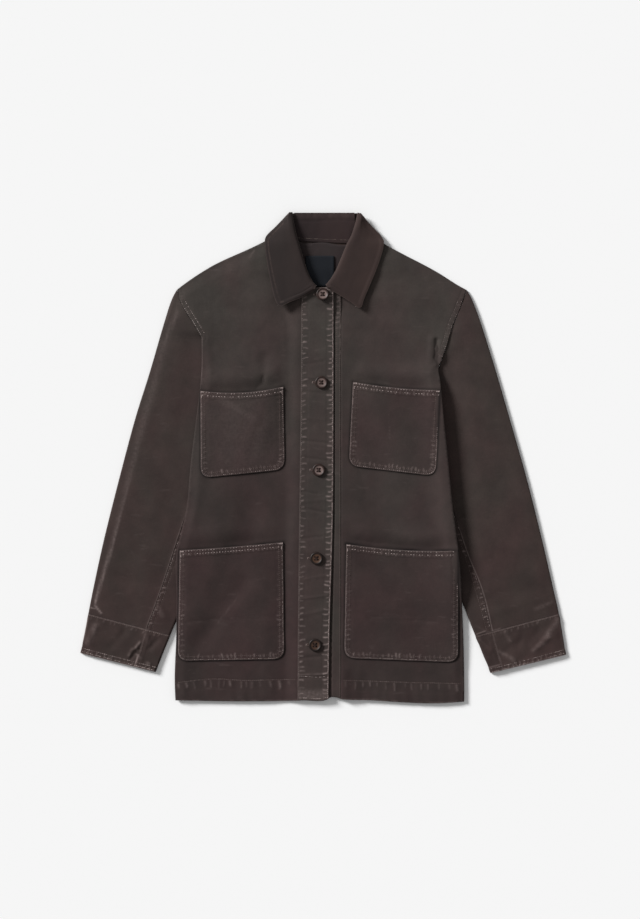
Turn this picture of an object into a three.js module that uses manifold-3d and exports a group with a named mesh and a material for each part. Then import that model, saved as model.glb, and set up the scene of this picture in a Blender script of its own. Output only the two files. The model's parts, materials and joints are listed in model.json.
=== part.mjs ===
// A chore jacket laid flat on a surface, seen from above, in millimetres.
// X runs across it, Y towards the collar, Z up, and the surface is z = 0.
// Left and right are the wearer's, so the wearer's right is at -X. The right front laps over the left.
// The sleeves are pressed tubes on the surface, and the body lies over their inner parts.
import * as THREE from "three";
import { mergeVertices } from "three/addons/utils/BufferGeometryUtils.js";
import Module from "manifold-3d";

const wasm = await Module();
wasm.setup();

// Driving dimensions.
const CLOTH = 1.2; // wall of one layer of cotton canvas
const SEAM = 0.3; // gap between neighbouring pieces
const COLLAR_CLOTH = 1.8; // the collar is two layers, sewn and turned
const LABEL_CLOTH = 1.0;
const SLEEVE_STACK = 3.2; // height of the body's underside where a sleeve lies beneath it
const FALL_STACK = 1.5; // and where the collar's back fall does
const OVERLAP_STACK = 3.0; // height that the lapped front gains over the button band
const RIGHT_EDGE_RISE = 1.5; // how far the body's side edges stand up from the sleeves
const LEFT_EDGE_RISE = 7.5;
const BUTTON_RADIUS = 9.5;
const BUTTON_THICK = 3.2;
const CUT_HEIGHT = 60; // height of the prisms that cut outlines

// Side edges of the body, from the hem up. Above the armpits the armhole cuts the panels.
const bodySections = [
  { y: -372, right: -222.5, left: 209.6 },
  { y: -339, right: -224.0, left: 209.6 },
  { y: -267, right: -221.7, left: 208.1 },
  { y: -213, right: -221.0, left: 205.7 },
  { y: -139, right: -220.4, left: 200.4 },
  { y: -116, right: -215.1, left: 197.4 },
  { y: -75, right: -206.2, left: 192.0 },
  { y: -14, right: -200.4, left: 185.9 },
  { y: 32, right: -195.1, left: 181.2 },
  { y: 78, right: -189.2, left: 176.6 },
  { y: 116, right: -185.0, left: 173.3 },
  { y: 135, right: -183.6, left: 172.0 },
  { y: 157, right: -183.4, left: 183.0 },
  { y: 180, right: -188.0, left: 190.0 },
  { y: 216, right: -211.0, left: 203.0 },
  { y: 255, right: -227.0, left: 218.0 },
  { y: 352, right: -227.0, left: 218.0 },
];

// The hem's lower edge, across the body.
const hemLine = [
  { x: -224, y: -363.2 },
  { x: -117.5, y: -364.7 },
  { x: -33.5, y: -363.2 },
  { x: 6.3, y: -360.6 },
  { x: 8.5, y: -359.2 },
  { x: 29.5, y: -361.7 },
  { x: 71.5, y: -363.2 },
  { x: 116.5, y: -366.2 },
  { x: 166, y: -367.7 },
  { x: 210, y: -365.2 },
];

// Shoulder lines from the neck to the sleeve head.
const rightShoulder = [
  { x: -54.5, y: 343.3 },
  { x: -96.5, y: 320.8 },
  { x: -173, y: 284.8 },
  { x: -213.5, y: 257.8 },
  { x: -220.2, y: 252.6 },
];
const leftShoulder = [
  { x: 55, y: 341.8 },
  { x: 89.5, y: 320.8 },
  { x: 173.5, y: 275.8 },
  { x: 202, y: 257.8 },
  { x: 213.8, y: 251.4 },
];

// Armholes from the shoulder down. The rows marked tucked run on under the body.
const rightArmhole = [
  { x: -220.2, y: 252.6, tucked: false },
  { x: -218.7, y: 244.3, tucked: false },
  { x: -215, y: 233.1, tucked: false },
  { x: -205.2, y: 215.8, tucked: false },
  { x: -194, y: 197.8, tucked: false },
  { x: -183.5, y: 179.8, tucked: false },
  { x: -177.5, y: 158, tucked: true },
  { x: -165.5, y: 131, tucked: true },
  { x: -141.5, y: 110.8, tucked: true },
  { x: -80, y: 90, tucked: true },
];
const leftArmhole = [
  { x: 213.8, y: 251.4, tucked: false },
  { x: 208, y: 236.8, tucked: false },
  { x: 202, y: 220.3, tucked: false },
  { x: 193, y: 199.8, tucked: false },
  { x: 183.1, y: 167.4, tucked: false },
  { x: 175.8, y: 147.4, tucked: false },
  { x: 167.5, y: 126, tucked: true },
  { x: 152.5, y: 105, tucked: true },
  { x: 125.5, y: 86, tucked: true },
  { x: 70, y: 76, tucked: true },
];

// Necklines from the right shoulder round to the left one.
const backNeck = [
  { x: -54.5, y: 343.3 },
  { x: -47, y: 332.8 },
  { x: -39.5, y: 325.3 },
  { x: -0.5, y: 323.1 },
  { x: 38.5, y: 321.6 },
  { x: 47.5, y: 331.3 },
  { x: 55, y: 341.8 },
];
const rightNeck = [
  { x: -54.5, y: 343.3 },
  { x: -48.5, y: 322.3 },
  { x: -39.5, y: 298.3 },
  { x: -30.5, y: 274.3 },
  { x: -23, y: 262.3 },
  { x: -15.5, y: 254.8 },
];
const leftNeck = [
  { x: 8.5, y: 256.3 },
  { x: 17.5, y: 265.3 },
  { x: 26.5, y: 278.8 },
  { x: 37, y: 298.3 },
  { x: 49, y: 320.8 },
  { x: 55, y: 341.8 },
];

// The placket's two edges, and the button band under it, from the neck down.
const placketEdges = [
  { y: 254.8, inner: -34.2, outer: 13.8 },
  { y: 86.8, inner: -35.2, outer: 13.8 },
  { y: -85.7, inner: -37.5, outer: 12.8 },
  { y: -273.2, inner: -39.7, outer: 7.5 },
  { y: -372, inner: -39.9, outer: 6.3 },
];
const BAND_INNER = -35.5;
const BAND_OUTER = 25;
const LAP_START = -60; // the lapped front starts to climb here, and is up at LAP_END
const LAP_END = -38;

// Sleeves: outer fold, inner fold, how far across the felled seam lies, where the body's edge covers
// the sleeve (over 1 where it stays clear), and the air in the tube.
const rightSleeveSections = [
  { outerX: -218, outerY: 257.1, innerX: -101, innerY: 116.8, seam: 0.78, cover: 0.3, air: 2.2 },
  { outerX: -228.8, outerY: 236.8, innerX: -102.5, innerY: 98.8, seam: 0.78, cover: 0.4, air: 2.4 },
  { outerX: -240.5, outerY: 200.8, innerX: -108.5, innerY: 71.8, seam: 0.76, cover: 0.43, air: 2.5 },
  { outerX: -261.5, outerY: 128.8, innerX: -125, innerY: 26.8, seam: 0.74, cover: 0.53, air: 2.3 },
  { outerX: -284, outerY: 56.8, innerX: -138.5, innerY: -15.2, seam: 0.72, cover: 0.6, air: 2.0 },
  { outerX: -308, outerY: -33.2, innerX: -159.5, innerY: -78.2, seam: 0.717, cover: 0.69, air: 2.2 },
  { outerX: -330.5, outerY: -123.2, innerX: -188, innerY: -156.2, seam: 0.72, cover: 0.775, air: 2.3 },
  { outerX: -346.2, outerY: -195.2, innerX: -215, innerY: -226.7, seam: 0.715, cover: 0.955, air: 2.2 },
  { outerX: -353.7, outerY: -233.4, innerX: -230.7, innerY: -265.7, seam: 0.71, cover: 1.2, air: 2.0 },
  { outerX: -365.2, outerY: -292.5, innerX: -252.9, innerY: -320.7, seam: 0.73, cover: 1.2, air: 2.2 },
];
const leftSleeveSections = [
  { outerX: 211, outerY: 255.6, innerX: 97, innerY: 113.8, seam: 0.78, cover: 0.3, air: 2.2 },
  { outerX: 221.5, outerY: 236.8, innerX: 100, innerY: 95.8, seam: 0.78, cover: 0.4, air: 2.4 },
  { outerX: 235, outerY: 200.8, innerX: 107.5, innerY: 68.8, seam: 0.78, cover: 0.46, air: 2.5 },
  { outerX: 257.5, outerY: 128.8, innerX: 124, innerY: 23.8, seam: 0.78, cover: 0.59, air: 2.4 },
  { outerX: 278.5, outerY: 56.8, innerX: 137.5, innerY: -18.2, seam: 0.78, cover: 0.66, air: 2.3 },
  { outerX: 304, outerY: -33.2, innerX: 160, innerY: -84.2, seam: 0.78, cover: 0.78, air: 2.3 },
  { outerX: 326.5, outerY: -123.2, innerX: 187, innerY: -163.7, seam: 0.755, cover: 0.88, air: 2.3 },
  { outerX: 343, outerY: -195.2, innerX: 212.5, innerY: -231.2, seam: 0.776, cover: 1.05, air: 2.2 },
  { outerX: 351.6, outerY: -233.4, innerX: 226.3, innerY: -266.4, seam: 0.8, cover: 1.2, air: 2.0 },
  { outerX: 362.1, outerY: -294.9, innerX: 249.3, innerY: -322.3, seam: 0.834, cover: 1.2, air: 2.2 },
];

// Collar leaves from the back corner to the front: roll edge, free edge, and the heights of the
// cloth that rolls under, of the crest of the roll and of the free edge.
const rightLeafSections = [
  { rollX: -47.7, rollY: 367.6, edgeX: -52.2, edgeY: 367.0, seat: 7.0, crest: 9.6, edge: 5.0 },
  { rollX: -44.5, rollY: 347.8, edgeX: -71.0, edgeY: 347.8, seat: 7.4, crest: 11.8, edge: 4.2 },
  { rollX: -41.0, rollY: 332.1, edgeX: -87.0, edgeY: 331.6, seat: 7.8, crest: 12.4, edge: 4.8 },
  { rollX: -37.2, rollY: 319.3, edgeX: -88.7, edgeY: 317.8, seat: 8.0, crest: 12.6, edge: 8.2 },
  { rollX: -31.0, rollY: 298.3, edgeX: -86.0, edgeY: 293.8, seat: 8.0, crest: 12.6, edge: 9.0 },
  { rollX: -25.2, rollY: 280.3, edgeX: -80.7, edgeY: 265.3, seat: 8.2, crest: 12.6, edge: 9.2 },
  { rollX: -20.7, rollY: 269.8, edgeX: -74.2, edgeY: 238.3, seat: 8.8, crest: 12.8, edge: 9.0 },
  { rollX: -17.7, rollY: 264.6, edgeX: -66.5, edgeY: 227.1, seat: 9.8, crest: 13.0, edge: 9.2 },
  { rollX: -15.5, rollY: 261.6, edgeX: -50.0, edgeY: 233.4, seat: 10.2, crest: 13.4, edge: 10.6 },
  { rollX: -13.5, rollY: 259.3, edgeX: -32.0, edgeY: 240.9, seat: 10.3, crest: 13.4, edge: 11.0 },
  { rollX: -12.0, rollY: 257.8, edgeX: -15.0, edgeY: 250.8, seat: 10.3, crest: 13.4, edge: 11.0 },
];
const leftLeafSections = [
  { rollX: 49.8, rollY: 367.0, edgeX: 55.0, edgeY: 365.1, seat: 7.0, crest: 9.6, edge: 5.0 },
  { rollX: 45.3, rollY: 347.8, edgeX: 70.8, edgeY: 347.1, seat: 7.4, crest: 11.8, edge: 4.2 },
  { rollX: 40.0, rollY: 332.1, edgeX: 86.0, edgeY: 330.6, seat: 7.8, crest: 12.4, edge: 5.0 },
  { rollX: 33.3, rollY: 319.3, edgeX: 88.8, edgeY: 317.8, seat: 8.0, crest: 12.6, edge: 8.8 },
  { rollX: 25.3, rollY: 299.8, edgeX: 81.8, edgeY: 292.3, seat: 8.0, crest: 12.6, edge: 10.2 },
  { rollX: 18.3, rollY: 283.3, edgeX: 71.2, edgeY: 265.3, seat: 8.2, crest: 12.6, edge: 10.6 },
  { rollX: 13.0, rollY: 273.6, edgeX: 60.3, edgeY: 239.8, seat: 8.8, crest: 12.8, edge: 10.6 },
  { rollX: 9.3, rollY: 267.6, edgeX: 53.5, edgeY: 224.4, seat: 9.8, crest: 13.0, edge: 10.4 },
  { rollX: 6.3, rollY: 263.8, edgeX: 38.5, edgeY: 233.5, seat: 10.2, crest: 13.4, edge: 10.6 },
  { rollX: 4.0, rollY: 261.1, edgeX: 22.0, edgeY: 243.9, seat: 10.3, crest: 13.4, edge: 11.0 },
  { rollX: 1.8, rollY: 259.3, edgeX: 5.5, edgeY: 253.9, seat: 10.3, crest: 13.4, edge: 11.0 },
];
const FALL_HALF_TOP = 52; // half widths of the part of the fall that lies under the back
const FALL_HALF_WIDE = 87;
const FALL_TOP = 366.6;
const FALL_WIDE = 330;
const FALL_LOW = 308;

// Soft folds of the fronts, as straight ridges (up) and troughs (down) with a half width.
const frontFolds = [
  { fromX: -92, fromY: 240, toX: -128, toY: 130, up: 0.9, wide: 26 },
  { fromX: -89.6, fromY: 150, toX: -93, toY: 104, up: -1.3, wide: 8 },
  { fromX: -70, fromY: 180, toX: -66, toY: 60, up: 0.8, wide: 14 },
  { fromX: -122, fromY: -42, toX: -108, toY: -110, up: -1.1, wide: 18 },
  { fromX: -160, fromY: -50, toX: -170, toY: -120, up: 0.8, wide: 24 },
  { fromX: -120, fromY: -185, toX: -186, toY: -275, up: -1.2, wide: 13 },
  { fromX: -90, fromY: -150, toX: -130, toY: -290, up: 0.7, wide: 26 },
  { fromX: 72, fromY: 216, toX: 146, toY: 140, up: -1.5, wide: 19 },
  { fromX: 100, fromY: 250, toX: 158, toY: 190, up: 1.0, wide: 22 },
  { fromX: 70, fromY: 170, toX: 110, toY: 125, up: 0.7, wide: 18 },
  { fromX: 36, fromY: -16, toX: 98, toY: -114, up: -1.3, wide: 17 },
  { fromX: 110, fromY: -45, toX: 150, toY: -120, up: 0.9, wide: 24 },
  { fromX: 56, fromY: -150, toX: 150, toY: -242, up: -1.3, wide: 18 },
  { fromX: 60, fromY: -215, toX: 110, toY: -300, up: 0.7, wide: 22 },
  { fromX: 30, fromY: -320, toX: 31, toY: -366, up: 1.0, wide: 9 },
  { fromX: 62, fromY: -330, toX: 60, toY: -366, up: -0.7, wide: 9 },
];

// Pockets by their corners, how far the mouth sags and how deep it stands open.
const pockets = [
  {
    name: "pocket_chest_right",
    front: "right",
    corners: {
      topLeft: [-185.2, 100.5],
      topRight: [-61.2, 106.6],
      lowRight: [-59.2, -17.4],
      lowLeft: [-184.4, -30.3],
    },
    sag: 6,
    open: 1.9,
    round: 17,
  },
  {
    name: "pocket_chest_left",
    front: "left",
    corners: {
      topLeft: [43, 113.8],
      topRight: [172.8, 101.2],
      lowRight: [166.6, -27.3],
      lowLeft: [36.9, -12],
    },
    sag: 3,
    open: 1.9,
    round: 17,
  },
  {
    name: "pocket_hip_right",
    front: "right",
    corners: {
      topLeft: [-216.2, -138.2],
      topRight: [-61.7, -126.3],
      lowRight: [-59.9, -301.3],
      lowLeft: [-219.2, -304.1],
    },
    sag: 1,
    open: 1.3,
    round: 17,
  },
  {
    name: "pocket_hip_left",
    front: "left",
    corners: {
      topLeft: [33.1, -129],
      topRight: [200, -138.2],
      lowRight: [200.5, -306.2],
      lowLeft: [30, -299.6],
    },
    sag: 4.5,
    open: 1.7,
    round: 17,
  },
];
const POCKET_HEM = 10; // the mouth's turned hem, which is thicker
const POCKET_HEM_EXTRA = 0.5;

const buttons = [
  { name: "button_1", x: -2.5, y: 244.5, tilt: -0.1, colour: 0x4e433f },
  { name: "button_2", x: -4.5, y: 112.9, tilt: 0, colour: 0x4e433f },
  { name: "button_3", x: -8.4, y: -18.2, tilt: 0, colour: 0x4a3d38 },
  { name: "button_4", x: -11.7, y: -150.2, tilt: 0, colour: 0x32261f },
  { name: "button_5", x: -13.8, y: -279.9, tilt: 0, colour: 0x32261f },
];

// Colours of the garment-dyed cloth.
const colours = {
  body: 0x413b39,
  pocket: 0x3b3230,
  sleeve: 0x3d3533,
  placket: 0x413c3a,
  collar: 0x352f2c,
  collarInner: 0x322b2b,
  label: 0x202227,
};

// Smooth step from 0 to 1 as t runs from 0 to 1.
function smooth(t) {
  const c = Math.min(1, Math.max(0, t));
  return c * c * (3 - 2 * c);
}

// Straight interpolation in a table whose rows are sorted by one column, either way round.
function lookUp(table, key, value, column) {
  const rising = table[table.length - 1][key] > table[0][key];
  const rows = rising ? table : [...table].reverse();
  if (value <= rows[0][key]) return rows[0][column];
  for (let i = 1; i < rows.length; i++) {
    if (value > rows[i][key]) continue;
    const share = (value - rows[i - 1][key]) / (rows[i][key] - rows[i - 1][key]);
    return THREE.MathUtils.lerp(rows[i - 1][column], rows[i][column], share);
  }
  return rows[rows.length - 1][column];
}

// Values of every column at a place along a table, from 0 to 1, on a smooth curve through its rows.
function sectionAt(table, share) {
  const place = share * (table.length - 1);
  const row = Math.min(table.length - 2, Math.floor(place));
  const t = place - row;
  const near = [-1, 0, 1, 2].map((step) => table[Math.min(table.length - 1, Math.max(0, row + step))]);
  const made = {};
  for (const column of Object.keys(table[0])) {
    const [a, b, c, d] = near.map((n) => n[column]);
    const curved = 2 * b + (c - a) * t + (2 * a - 5 * b + 4 * c - d) * t * t + (3 * b - a - 3 * c + d) * t ** 3;
    made[column] = curved / 2;
  }
  return made;
}

// Height that the body gains over one sleeve: full over the sleeve and a little beyond it.
// The distances past the sleeve's inner fold and under its top edge are taken square to those slanted lines.
function liftOverSleeve(x, y, sleeve, armhole, side) {
  const MARGIN = 15;
  const RAMP = 38;
  const FOLD_SLANT = 0.93;
  const TOP_SLANT = 0.8;
  const tucked = armhole.filter((row, i) => row.tucked || armhole[i + 1]?.tucked);
  const inward = side * x;
  const foldX = side * lookUp(sleeve, "innerY", y, "innerX");
  const topY = lookUp(tucked, "x", x, "y");
  const past = Math.min((inward - foldX) * FOLD_SLANT, (topY - y) * TOP_SLANT);
  return SLEEVE_STACK * smooth((past + MARGIN + RAMP) / RAMP);
}

// How far the body's side edge stands up, from the armpit down to where the sleeve comes out.
function edgeRise(x, y, edgeX, rise) {
  const REACH = 27;
  const ARMPIT = { y: 150, fade: 60 };
  const SLEEVE_OUT = { y: -250, fade: 90 };
  const along = smooth((ARMPIT.y - y) / ARMPIT.fade) * smooth((y - SLEEVE_OUT.y) / SLEEVE_OUT.fade);
  return rise * Math.exp(-(((x - edgeX) / REACH) ** 2)) * along;
}

function liftOverFall(x, y) {
  const RAMP = 22;
  const upwards = smooth((y - (FALL_LOW - 2 * RAMP)) / RAMP);
  return FALL_STACK * upwards * smooth((FALL_HALF_WIDE + 2 * RAMP - Math.abs(x)) / RAMP);
}

// Middle surface of the back panel.
function backHeight(x, y) {
  const right = lookUp(bodySections, "y", y, "right");
  const left = lookUp(bodySections, "y", y, "left");
  return (
    CLOTH / 2 +
    liftOverSleeve(x, y, rightSleeveSections, rightArmhole, -1) +
    liftOverSleeve(x, y, leftSleeveSections, leftArmhole, 1) +
    edgeRise(x, y, right, RIGHT_EDGE_RISE) +
    edgeRise(x, y, left, LEFT_EDGE_RISE) +
    liftOverFall(x, y)
  );
}

// Sum of the soft folds at a point.
function foldHeight(x, y, folds) {
  let height = 0;
  for (const fold of folds) {
    const runX = fold.toX - fold.fromX;
    const runY = fold.toY - fold.fromY;
    const along = ((x - fold.fromX) * runX + (y - fold.fromY) * runY) / (runX ** 2 + runY ** 2);
    const on = Math.min(1, Math.max(0, along));
    const away = Math.hypot(x - fold.fromX - on * runX, y - fold.fromY - on * runY);
    height += fold.up * Math.exp(-((away / fold.wide) ** 2));
  }
  return height;
}

// Air between the back and the fronts. It closes at the side seams, the shoulders and the hem's corners.
function frontAir(x, y) {
  const LEAST = 0.4; // at the seams
  const MOST = 3.3;
  const CENTRE = { air: 0.5, x: -10, half: 45, fade: 40 }; // pressed flat under the placket
  const NECK = { extra: 1.2, y: 215, fade: 28 }; // room for the label
  const PUFF = 1.7; // over the chest and the hips, and less at the shoulders
  const SHOULDER = { y: 200, fade: 60, loss: 0.6 };
  const SIDE_FADE = 16;
  const SHOULDER_FADE = 22;
  const ARMPIT = { y: 170, fade: 40, clear: 60 }; // above it the armhole is sewn to a sleeve, not to the back
  const right = lookUp(bodySections, "y", y, "right");
  const left = lookUp(bodySections, "y", y, "left");
  const shoulderY = lookUp(x < 0 ? rightShoulder : leftShoulder, "x", x, "y");
  const below = smooth((ARMPIT.y - y) / ARMPIT.fade);
  const fromSide = Math.min(x - right, left - x) + (1 - below) * ARMPIT.clear;
  const closing = smooth(fromSide / SIDE_FADE) * smooth((shoulderY - y) / SHOULDER_FADE);
  const fromCentre = smooth((Math.abs(x - CENTRE.x) - CENTRE.half) / CENTRE.fade);
  const least = CENTRE.air + NECK.extra * smooth((y - NECK.y) / NECK.fade);
  const puff = PUFF * fromCentre * (1 - SHOULDER.loss * smooth((y - SHOULDER.y) / SHOULDER.fade));
  const air = least + puff + foldHeight(x, y, frontFolds);
  return LEAST + closing * (Math.min(MOST, Math.max(least, air)) - LEAST);
}

function leftFrontHeight(x, y) {
  return backHeight(x, y) + CLOTH + frontAir(x, y);
}

// The right front climbs over the button band, which ends under the collar.
function rightFrontHeight(x, y) {
  const LAP_TOP = 300;
  const LAP_FADE = 32;
  const onBand = smooth((x - LAP_START) / (LAP_END - LAP_START));
  const belowNeck = smooth((LAP_TOP - y) / LAP_FADE);
  return leftFrontHeight(x, y) + OVERLAP_STACK * onBand * belowNeck;
}

// Places of the grid lines across the body: closer at the side edges, at the lap and at the placket.
const SIDE_SHARES = [0, 0.03, 0.08, 0.17, 0.31, 0.47, 0.64, 0.82];
const MIDDLE_LINES = [LAP_START, -49, LAP_END, -12, 14, 36];
const ROWS = rowPlaces();

function rowPlaces() {
  const rows = [-372, -352, -334];
  for (let y = -304; y < 100; y += 30) rows.push(y);
  for (let y = 108; y <= 200; y += 15) rows.push(y);
  return [...rows, 220, 244, 262, 283, 304, 326, 348];
}

function columnPlaces(y) {
  const right = lookUp(bodySections, "y", y, "right");
  const left = lookUp(bodySections, "y", y, "left");
  const first = MIDDLE_LINES[0];
  const last = MIDDLE_LINES[MIDDLE_LINES.length - 1];
  const rightLines = SIDE_SHARES.map((share) => THREE.MathUtils.lerp(right, first, share));
  const leftLines = SIDE_SHARES.map((share) => THREE.MathUtils.lerp(left, last, share)).reverse();
  return [...rightLines, ...MIDDLE_LINES, ...leftLines];
}

// Grid of points on a surface, kept as rows of vectors.
function bodyGrid(height, firstColumn, lastColumn, firstRow = 0, lastRow = ROWS.length - 1) {
  return ROWS.slice(firstRow, lastRow + 1).map((y) =>
    columnPlaces(y)
      .slice(firstColumn, lastColumn + 1)
      .map((x) => new THREE.Vector3(x, y, height(x, y))),
  );
}

// Unit normals of a grid, from the differences between neighbouring points.
function gridNormals(grid) {
  const rows = grid.length;
  const columns = grid[0].length;
  return grid.map((line, i) =>
    line.map((_, j) => {
      const left = line[Math.max(0, j - 1)];
      const right = line[Math.min(columns - 1, j + 1)];
      const below = grid[Math.max(0, i - 1)][j];
      const above = grid[Math.min(rows - 1, i + 1)][j];
      return right.clone().sub(left).cross(above.clone().sub(below)).normalize();
    }),
  );
}

// Closed solid between two offsets of a grid, along its normals. An offset may depend on the point.
// A ring grid joins its last column to its first.
function layer(grid, normals, low, high, ring = false) {
  const rows = grid.length;
  const columns = grid[0].length;
  const positions = [];
  for (const offset of [high, low]) {
    grid.forEach((line, i) =>
      line.forEach((point, j) => {
        const away = typeof offset === "function" ? offset(point) : offset;
        positions.push(...point.clone().addScaledVector(normals[i][j], away).toArray());
      }),
    );
  }
  const count = rows * columns;
  const top = (i, j) => i * columns + (j % columns);
  const under = (i, j) => count + top(i, j);
  const triangles = [];
  const quad = (a, b, c, d) => triangles.push(a, b, c, a, c, d);
  const cells = ring ? columns : columns - 1;
  for (let i = 0; i < rows - 1; i++) {
    for (let j = 0; j < cells; j++) {
      quad(top(i, j), top(i, j + 1), top(i + 1, j + 1), top(i + 1, j));
      quad(under(i, j), under(i + 1, j), under(i + 1, j + 1), under(i, j + 1));
    }
  }
  for (let j = 0; j < cells; j++) {
    quad(top(0, j), under(0, j), under(0, j + 1), top(0, j + 1));
    quad(top(rows - 1, j), top(rows - 1, j + 1), under(rows - 1, j + 1), under(rows - 1, j));
  }
  for (let i = 0; i < rows - 1 && !ring; i++) {
    quad(top(i, 0), top(i + 1, 0), under(i + 1, 0), under(i, 0));
    quad(top(i, columns - 1), under(i, columns - 1), under(i + 1, columns - 1), top(i + 1, columns - 1));
  }
  return toManifold(positions, triangles);
}

function toManifold(positions, triangles) {
  const made = new wasm.Manifold(
    new wasm.Mesh({
      numProp: 3,
      vertProperties: new Float32Array(positions),
      triVerts: new Uint32Array(triangles),
    }),
  );
  if (made.volume() > 0) return made;
  const turned = [];
  for (let i = 0; i < triangles.length; i += 3) turned.push(triangles[i], triangles[i + 2], triangles[i + 1]);
  return toManifold(positions, turned);
}

function geometryToManifold(geometry) {
  const bare = geometry.clone();
  bare.deleteAttribute("normal");
  bare.deleteAttribute("uv");
  const merged = mergeVertices(bare, 1e-4);
  return toManifold([...merged.attributes.position.array], [...merged.index.array]);
}

function manifoldToGeometry(solid) {
  const mesh = solid.getMesh();
  const positions = new Float32Array(mesh.numVert * 3);
  for (let i = 0; i < mesh.numVert; i++) {
    positions.set(mesh.vertProperties.subarray(i * mesh.numProp, i * mesh.numProp + 3), i * 3);
  }
  const geometry = new THREE.BufferGeometry();
  geometry.setAttribute("position", new THREE.BufferAttribute(positions, 3));
  geometry.setIndex(new THREE.BufferAttribute(new Uint32Array(mesh.triVerts), 1));
  return geometry;
}

// Upright prism over an outline of [x, y] points.
function prism(points) {
  const shape = new THREE.Shape(points.map(([x, y]) => new THREE.Vector2(x, y)));
  const geometry = new THREE.ExtrudeGeometry(shape, { depth: CUT_HEIGHT, bevelEnabled: false });
  geometry.translate(0, 0, -CUT_HEIGHT / 3);
  return geometryToManifold(geometry);
}

function cut(solid, outline) {
  return solid.intersect(prism(outline));
}

const pairs = (rows) => rows.map((row) => [row.x, row.y]);
const visible = (armhole) => armhole.filter((row) => !row.tucked);

const group = new THREE.Group();

function addPiece(name, solid, colour, roughness = 0.9) {
  const finish = { color: colour, roughness, metalness: 0, flatShading: true };
  const material = new THREE.MeshStandardMaterial(finish);
  const mesh = new THREE.Mesh(manifoldToGeometry(solid), material);
  mesh.name = name;
  group.add(mesh);
}

// Outline of the body from the hem's right corner, and the parts of it that each panel uses.
const FAR = 40; // the prism passes this far outside the side edges, where the grid itself ends
const HEM_RIGHT = -222;
const HEM_LEFT = 209.6;
const SIDE_LOW = -339;
const HEM_INSET = 0.5; // the bands end this far inside the hem's edge
const BAND_TOP = 252;
const rightSide = [
  [-183.3, 168],
  [-183.6 - FAR, 135],
  [HEM_RIGHT - FAR, SIDE_LOW],
];
const leftSide = [
  [HEM_LEFT + FAR, SIDE_LOW],
  [173.3 + FAR, 116.5],
  [171.2, 134.5],
];
const placketLow = placketEdges[placketEdges.length - 1];
const placketInner = placketEdges.slice(0, -1).map((row) => [row.inner, row.y]);
const placketOuter = placketEdges.slice(0, -1).map((row) => [row.outer, row.y]);

function hemPart(fromX, toX, raise = 0) {
  const inside = hemLine.filter((row) => row.x > fromX && row.x < toX).map((row) => [row.x, row.y + raise]);
  const end = (x) => [x, lookUp(hemLine, "x", x, "y") + raise];
  return [end(fromX), ...inside, end(toX)];
}

function addBack() {
  const grid = bodyGrid(backHeight, 0, columnPlaces(0).length - 1);
  const outline = [
    ...hemPart(HEM_RIGHT - FAR, HEM_LEFT + FAR, 2 * HEM_INSET),
    ...leftSide,
    ...pairs(visible(leftArmhole)).reverse(),
    ...pairs(leftShoulder).reverse(),
    ...pairs(backNeck).reverse().slice(1),
    ...pairs(rightShoulder).slice(1),
    ...pairs(visible(rightArmhole)).slice(1),
    ...rightSide,
  ];
  addPiece("back", cut(layer(grid, gridNormals(grid), -CLOTH / 2, CLOTH / 2), dedupe(outline)), colours.body);
}

// Removes points that repeat the one before.
function dedupe(points) {
  return points.filter(([x, y], i) => {
    const [a, b] = points[(i + points.length - 1) % points.length];
    return Math.hypot(x - a, y - b) > 0.05;
  });
}

const MIDDLE_FIRST = SIDE_SHARES.length;
const LAST_COLUMN = 2 * SIDE_SHARES.length + MIDDLE_LINES.length - 1;
const rightFrontGrid = bodyGrid(rightFrontHeight, 0, MIDDLE_FIRST + 5);
const rightFrontNormals = gridNormals(rightFrontGrid);
const leftFrontGrid = bodyGrid(leftFrontHeight, MIDDLE_FIRST + 1, LAST_COLUMN);
const leftFrontNormals = gridNormals(leftFrontGrid);
const frontGrids = {
  right: { grid: rightFrontGrid, normals: rightFrontNormals },
  left: { grid: leftFrontGrid, normals: leftFrontNormals },
};

function addFronts() {
  const rightOutline = [
    ...hemPart(HEM_RIGHT - FAR, placketLow.outer),
    ...[...placketOuter].reverse(),
    ...pairs(rightNeck).reverse(),
    ...pairs(rightShoulder).slice(1),
    ...pairs(visible(rightArmhole)).slice(1),
    ...rightSide,
  ];
  const leftOutline = [
    ...hemPart(BAND_INNER, HEM_LEFT + FAR),
    ...leftSide,
    ...pairs(visible(leftArmhole)).reverse(),
    ...pairs(leftShoulder).reverse().slice(1),
    ...pairs(leftNeck).reverse().slice(1),
    [BAND_INNER, BAND_TOP + 2],
  ];
  const made = { right: rightOutline, left: leftOutline };
  for (const side of ["right", "left"]) {
    const { grid, normals } = frontGrids[side];
    const panel = layer(grid, normals, -CLOTH / 2, CLOTH / 2);
    addPiece("front_" + side, cut(panel, dedupe(made[side])), colours.body);
  }
}

function addBands() {
  const onTop = CLOTH / 2 + SEAM;
  const bandOutline = [
    ...hemPart(BAND_INNER, BAND_OUTER, HEM_INSET),
    [BAND_OUTER, BAND_TOP],
    [BAND_INNER, BAND_TOP],
  ];
  const left = frontGrids.left;
  const band = cut(layer(left.grid, left.normals, onTop, onTop + CLOTH), bandOutline);
  addPiece("button_band", band, colours.placket);
  const placketOutline = [
    ...hemPart(placketLow.inner, placketLow.outer, HEM_INSET),
    ...[...placketOuter].reverse(),
    ...placketInner,
  ];
  const right = frontGrids.right;
  const placket = cut(layer(right.grid, right.normals, onTop, onTop + CLOTH), placketOutline);
  addPiece("placket", placket, colours.placket);
}

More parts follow.
